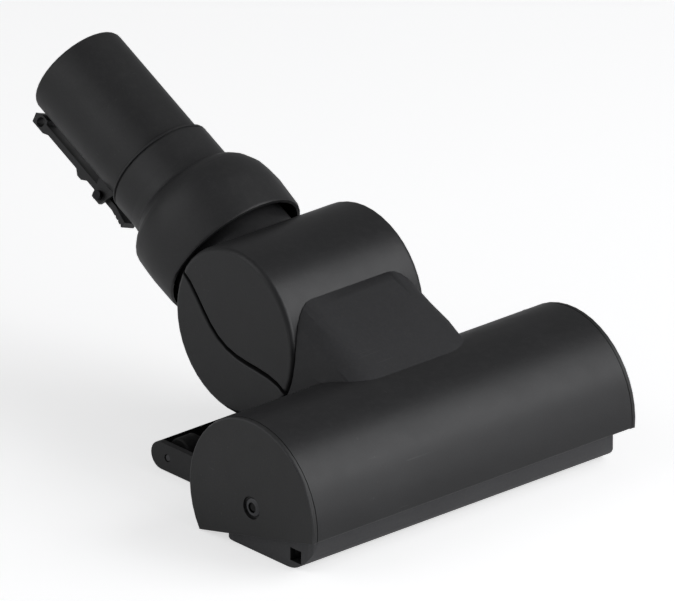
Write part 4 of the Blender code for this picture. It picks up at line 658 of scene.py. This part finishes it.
def round_over_seam(maker):
    """Rounds the edges where the seam's walls come out on the drum's faces, and paints the walls near-black as painted
    shade.
    """
    maker.normal_update()

    def is_outside(face):
        middle = face.calc_center_median() - drum_centre
        flat = abs(face.normal.x) > 0.99 and abs(middle.x) > drum_half_length - face_slack
        radial = Vector((0, middle.y, middle.z))
        return flat or (radial.length > drum_radius * skin_share and face.normal.dot(radial.normalized()) > 0.9)

    def is_wall(face):
        middle = face.calc_center_median() - drum_centre
        radial = Vector((0, middle.y, middle.z))
        if radial.length < 0.001 or radial.length > drum_radius or abs(face.normal.x) > 0.1:
            return False
        return radial.length < drum_radius * inner_share or abs(face.normal.dot(radial.normalized())) < 0.6

    walls = [face for face in maker.faces
             if is_wall(face) and face.calc_center_median().z - drum_centre.z < widened_height]
    shift = {}
    for face in walls:
        for point in face.verts:
            shift.setdefault(point, []).append(face.normal.copy())
    for point, normals in shift.items():
        mean = sum(normals, Vector((0, 0, 0)))
        flat = Vector((0, mean.y, mean.z)).normalized()
        agreed = all(flat.dot(normal) > 0.8 for normal in normals)
        if agreed and abs(point.co.x - drum_centre.x) > drum_half_length - widened_depth:
            point.co -= flat * seam_widening
    maker.normal_update()
    seam = []
    for edge in maker.edges:
        if len(edge.link_faces) == 2:
            one, other = edge.link_faces
            if (is_outside(one) and is_wall(other)) or (is_outside(other) and is_wall(one)):
                if abs(one.normal.dot(other.normal)) < 0.7:
                    seam.append(edge)
    bmesh.ops.bevel(maker, geom=seam, offset=seam_round, segments=3, profile=0.5, affect="EDGES")
    maker.normal_update()
    # The seam's walls take the near-black material: painted shade in the gap.
    for face in maker.faces:
        if is_wall(face):
            face.material_index = 1


# Near-black blocks behind the seam stand in for the shade inside the drum: painted shade.
shade_block_from = Vector((0, 0.0184, 0.0054))
shade_block_to = Vector((0, 0.0276, 0.0149))
shade_block_width = 0.0036
shade_block_depth = 0.0016
shade_block_below_face = 0.0014


def round_seam_and_add_shade_blocks(maker):
    """Also stands a near-black block behind the seam on each end wall, where the turbine doesn't close the view:
    painted shade.
    """
    round_over_seam(maker)
    reach = shade_block_to - shade_block_from
    run = reach.normalized()
    turn = Matrix((lengthwise, run, lengthwise.cross(run))).transposed().to_4x4()
    size = Matrix.Diagonal((shade_block_depth, reach.length, shade_block_width, 1))
    for side in (-1, 1):
        middle = drum_centre + (shade_block_from + shade_block_to) / 2
        middle += lengthwise * side * (drum_half_length - shade_block_below_face - shade_block_depth / 2)
        shade_block = bmesh.ops.create_cube(maker, size=1.0, matrix=Matrix.Translation(middle) @ turn @ size)
        for point in shade_block["verts"]:
            for face in point.link_faces:
                face.material_index = 1


for half, carve in (("upper", round_over_seam), ("lower", round_seam_and_add_shade_blocks)):
    shell = fitted("drum_%s_half" % half, "drum_%s_shell" % half, "elbow", drum_black, 0.0, 50.0,
                   carve=carve, inside=deep_shadow)
    shade_round(shell, drum_centre, lengthwise)
    shade_round(shell, joint_at["tube_swivel"], tube_line)

# Swivel collar
# A thin-walled bell with a stepped sleeve turns on the drum's stub, so that the tube can swivel.
# An acetal ring holds it on, and a rubber seal keeps it tight.
collar_black = moulded_plastic("collar_black", (0.028, 0.028, 0.029), 0.44, 1400.0, 0.24)
sleeve_radius = 0.0211
groove_width = 0.0008
groove_depth = 0.0007
groove_slope = 0.00012
groove_from_end = 0.0012
groove_reach = 0.0003
bell_profile = ((0.0362, 0.02859, 0.02830), (0.0380, 0.02950, 0.02855), (0.0474, 0.02970, 0.02850),
                (0.0520, 0.02940, 0.02830), (0.0560, 0.02875, 0.02800), (0.0590, 0.02765, 0.02745),
                (0.0604, 0.02690, 0.02620), (0.0618, 0.02610, 0.02290), (0.0636, 0.02450, 0.02215),
                (0.0647, 0.02240, 0.02180), (0.0652, 0.02145, 0.02165), (0.0702, 0.02110, 0.02110))
bell_skin = 0.0205
bell_inside = 0.0278
bell_floor = 0.0599
lean_reach = 0.67
lip_from = 0.0400
lip_drop = 0.0022
lip_blend = 0.003
profile_slack = 1e-6


def turn_bell(maker):
    """The bell's rounded shoulder, and a fine groove round the sleeve, close to its end."""
    centre = joint_at["tube_swivel"]
    topward = Vector((0, -tube_line.z, tube_line.y))
    for place, _, _ in bell_profile[2:]:
        bmesh.ops.bisect_plane(maker, geom=maker.verts[:] + maker.edges[:] + maker.faces[:],
                               plane_co=centre + tube_line * place, plane_no=tube_line)
    for point in maker.verts:
        along = (point.co - centre).dot(tube_line)
        arm = point.co - centre - tube_line * along
        facing = arm.normalized().dot(topward)
        top_share = min(1, max(0, (facing / lean_reach + 1) / 2))
        on_profile = bell_profile[0][0] - profile_slack <= along <= bell_profile[-1][0] + profile_slack
        if arm.length > bell_skin and on_profile:
            for (near, *near_radii), (far, *far_radii) in zip(bell_profile, bell_profile[1:]):
                if along <= far + profile_slack:
                    top, bottom = (first + (second - first) * (along - near) / (far - near)
                                   for first, second in zip(near_radii, far_radii))
                    radius = bottom + (top - bottom) * top_share
                    if arm.length > bell_inside or along > bell_floor:
                        point.co += arm * (radius / arm.length - 1)
                    break
        if along < lip_from:
            point.co -= tube_line * (lip_drop * max(0, facing) * min(1, (lip_from - along) / lip_blend))
    end = max((point.co - centre).dot(tube_line) for point in maker.verts)
    middle = end - groove_from_end
    half = groove_width / 2
    for shift in (-half - groove_slope, -half, half, half + groove_slope):
        bmesh.ops.bisect_plane(maker, geom=maker.verts[:] + maker.edges[:] + maker.faces[:],
                               plane_co=centre + tube_line * (middle + shift), plane_no=tube_line)
    for point in maker.verts:
        along = (point.co - centre).dot(tube_line)
        arm = point.co - centre - tube_line * along
        if abs(along - middle) < half + groove_slope / 2 and arm.length > sleeve_radius - groove_reach:
            point.co -= arm.normalized() * groove_depth


bell = fitted("bell_collar", "swivel_collar", "tube", collar_black, 0.0, 34.0, carve=turn_bell)
shade_round(bell, joint_at["tube_swivel"], tube_line)
fitted("holding_ring", "swivel_ring", "tube", turbine_grey, 0.0002)
fitted("collar_seal", "swivel_seal", "tube", belt_rubber, 0.0002)

# Suction tube
# The extruded tube is pushed into the sleeve, and two ears for the latch are moulded on.
# The hose or wand plugs into its open end.
tube_black = moulded_plastic("tube_black", (0.024, 0.024, 0.0248), 0.46, 1300.0, 0.26)
pipe = fitted("suction_tube", "upper_tube", "tube", tube_black, 0.0, 34.0)
shade_round(pipe, joint_at["tube_swivel"], tube_line)

# Latch lever
# A sprung lever hooks over the hose fitting and is pressed at its grooved pad to let it go.
# It turns on a steel pin with two heads.
latch_black = moulded_plastic("latch_black", (0.020, 0.020, 0.021), 0.42, 1500.0, 0.2)
fitted("release_lever", "latch_lever", "latch", latch_black, 0.0002)
fitted("release_pin", "latch_pin", "tube", dark_steel, 0.0002)

# Rear skid and rollers
# A low tray with rounded cheeks keeps the head level, screwed to the back of the cover.
# Two small soft rollers turn on steel pins between its cheeks and ribs.
skid_black = moulded_plastic("skid_black", (0.023, 0.023, 0.024), 0.48, 1200.0, 0.3)
roller_rubber = moulded_plastic("roller_rubber", (0.007, 0.007, 0.007), 0.75, 1000.0, 0.45, 0.2, (0.2, 0.3, 0.08))
fitted("skid_tray", "rear_skid", "head", skid_black)
for side in ("left", "right"):
    fitted(side + "_skid_roller", "wheel_" + side, "wheel_" + side[0], roller_rubber, 0.0002)
    fitted(side + "_roller_pin", "wheel_pin_" + side, "head", blued_steel, 0.0001)
    fitted(side + "_skid_fastener", "skid_screw_" + side, "head", dark_steel, 0.0001)

# Floor, lamps and camera
# A plain pale floor under soft studio light, seen white by the camera and, at a small share, by gloss.
# The camera stands where the photograph was taken from.
world = bpy.data.worlds.new("studio")
bpy.context.scene.world = world
world.use_nodes = True
world_tree = world.node_tree
world_back = world_tree.nodes["Background"]
seen = add_node(world_tree, "ShaderNodeLightPath")
world_mix = add_node(world_tree, "ShaderNodeMixShader")
world_white = add_node(world_tree, "ShaderNodeBackground")
world_white.inputs["Color"].default_value = (1, 1, 1, 1)
world_white.inputs["Strength"].default_value = 1.0
world_back.inputs["Color"].default_value = (0.97, 0.98, 1.0, 1)
world_back.inputs["Strength"].default_value = 0.12
world_gloss = 0.07
floor_gloss = 0.20


def white_to_eye(tree, paths, gloss_share):
    """How much of the white background a ray sees: all by camera or glass, a share by gloss."""
    gloss = calculate(tree, "MULTIPLY", paths.outputs["Is Glossy Ray"], gloss_share)
    clear = calculate(tree, "ADD", paths.outputs["Is Camera Ray"], paths.outputs["Is Transmission Ray"])
    return calculate(tree, "ADD", clear, gloss, True)


join_up(world_tree, (white_to_eye(world_tree, seen, world_gloss), world_mix.inputs[0]),
        (world_back.outputs[0], world_mix.inputs[1]),
        (world_white.outputs[0], world_mix.inputs[2]),
        (world_mix.outputs[0], world_tree.nodes["World Output"].inputs["Surface"]))

floor_size = 6.0
floor_drop = 0.0001
floor_mesh = bpy.data.meshes.new("floor")
floor_maker = bmesh.new()
bmesh.ops.create_grid(floor_maker, x_segments=1, y_segments=1, size=floor_size)
floor_maker.to_mesh(floor_mesh)
floor_maker.free()
floor = bpy.data.objects.new("floor", floor_mesh)
bpy.context.collection.objects.link(floor)
floor.location.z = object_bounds()[0][2] - floor_drop
floor_white = bpy.data.materials.new("floor_white")
floor_white.use_nodes = True
floor_tree = floor_white.node_tree
floor_shader = floor_tree.nodes["Principled BSDF"]
floor_shader.inputs["Base Color"].default_value = (0.92, 0.92, 0.92, 1)
floor_shader.inputs["Roughness"].default_value = 0.9
floor_path = add_node(floor_tree, "ShaderNodeLightPath")
floor_glow = add_node(floor_tree, "ShaderNodeEmission")
floor_glow.inputs["Strength"].default_value = 0.62
floor_mix = add_node(floor_tree, "ShaderNodeAddShader")
floor_pick = add_node(floor_tree, "ShaderNodeMixShader")
join_up(floor_tree, (floor_shader.outputs[0], floor_mix.inputs[0]), (floor_glow.outputs[0], floor_mix.inputs[1]),
        (white_to_eye(floor_tree, floor_path, floor_gloss), floor_pick.inputs[0]),
        (floor_shader.outputs[0], floor_pick.inputs[1]),
        (floor_mix.outputs[0], floor_pick.inputs[2]),
        (floor_pick.outputs[0], floor_tree.nodes["Material Output"].inputs["Surface"]))
floor_mesh.materials.append(floor_white)


lamp_distance = 1.3
lamp_size = 0.9
lamp_colour = (0.98, 0.985, 1.0)
lit_centre = Vector((0, 0.02, 0.04))


def softbox(name, azimuth, height, power):
    """A large soft lamp, placed by its angle from the front towards the right and by its height."""
    lamp = bpy.data.lights.new(name, "AREA")
    lamp.shape = "SQUARE"
    lamp.size = lamp_size
    lamp.energy = power
    lamp.color = lamp_colour
    holder = bpy.data.objects.new(name, lamp)
    bpy.context.collection.objects.link(holder)
    turn, tilt = math.radians(azimuth), math.radians(height)
    direction = Vector((math.sin(turn) * math.cos(tilt), -math.cos(turn) * math.cos(tilt), math.sin(tilt)))
    holder.location = lit_centre + direction * lamp_distance
    holder.rotation_euler = direction.to_track_quat("Z", "Y").to_euler()


softbox("key_high_right", 40, 40, 5.1)
softbox("key_low_right", 40, 12, 0.9)
softbox("front_low", 10, 12, 4.9)
softbox("rear_left_high", -120, 40, 1.7)
softbox("rear_left_low", -120, 12, 1.3)

camera_azimuth = -0.729
camera_height = 0.414
camera_roll = 0.002
pixels_per_metre = 2808.0
anchor_pixel = (251.3, 508.0)
camera_distance = 8.0
frame_size = (675, 601)
sensor_width = 36
back = Vector((math.sin(camera_azimuth) * math.cos(camera_height), -math.cos(camera_azimuth) * math.cos(camera_height),
               math.sin(camera_height)))
level = Vector((math.cos(camera_azimuth), math.sin(camera_azimuth), 0))
rise = back.cross(level)
right = math.cos(camera_roll) * level + math.sin(camera_roll) * rise
up = math.cos(camera_roll) * rise - math.sin(camera_roll) * level
anchor = Vector((-cap_outside, roller_centre.y, roller_centre.z))
middle = anchor + right * ((frame_size[0] / 2 - anchor_pixel[0]) / pixels_per_metre)
middle -= up * ((frame_size[1] / 2 - anchor_pixel[1]) / pixels_per_metre)
lens = bpy.data.cameras.new("photo_camera")
lens.sensor_width = sensor_width
lens.lens = sensor_width * camera_distance * pixels_per_metre / frame_size[0]
lens.clip_end = 100
viewer = bpy.data.objects.new("photo_camera", lens)
bpy.context.collection.objects.link(viewer)
turned = Matrix((right, up, back)).transposed().to_4x4()
viewer.matrix_world = Matrix.Translation(middle + back * camera_distance) @ turned
bpy.context.scene.camera = viewer
bpy.context.scene.view_settings.view_transform = "Standard"
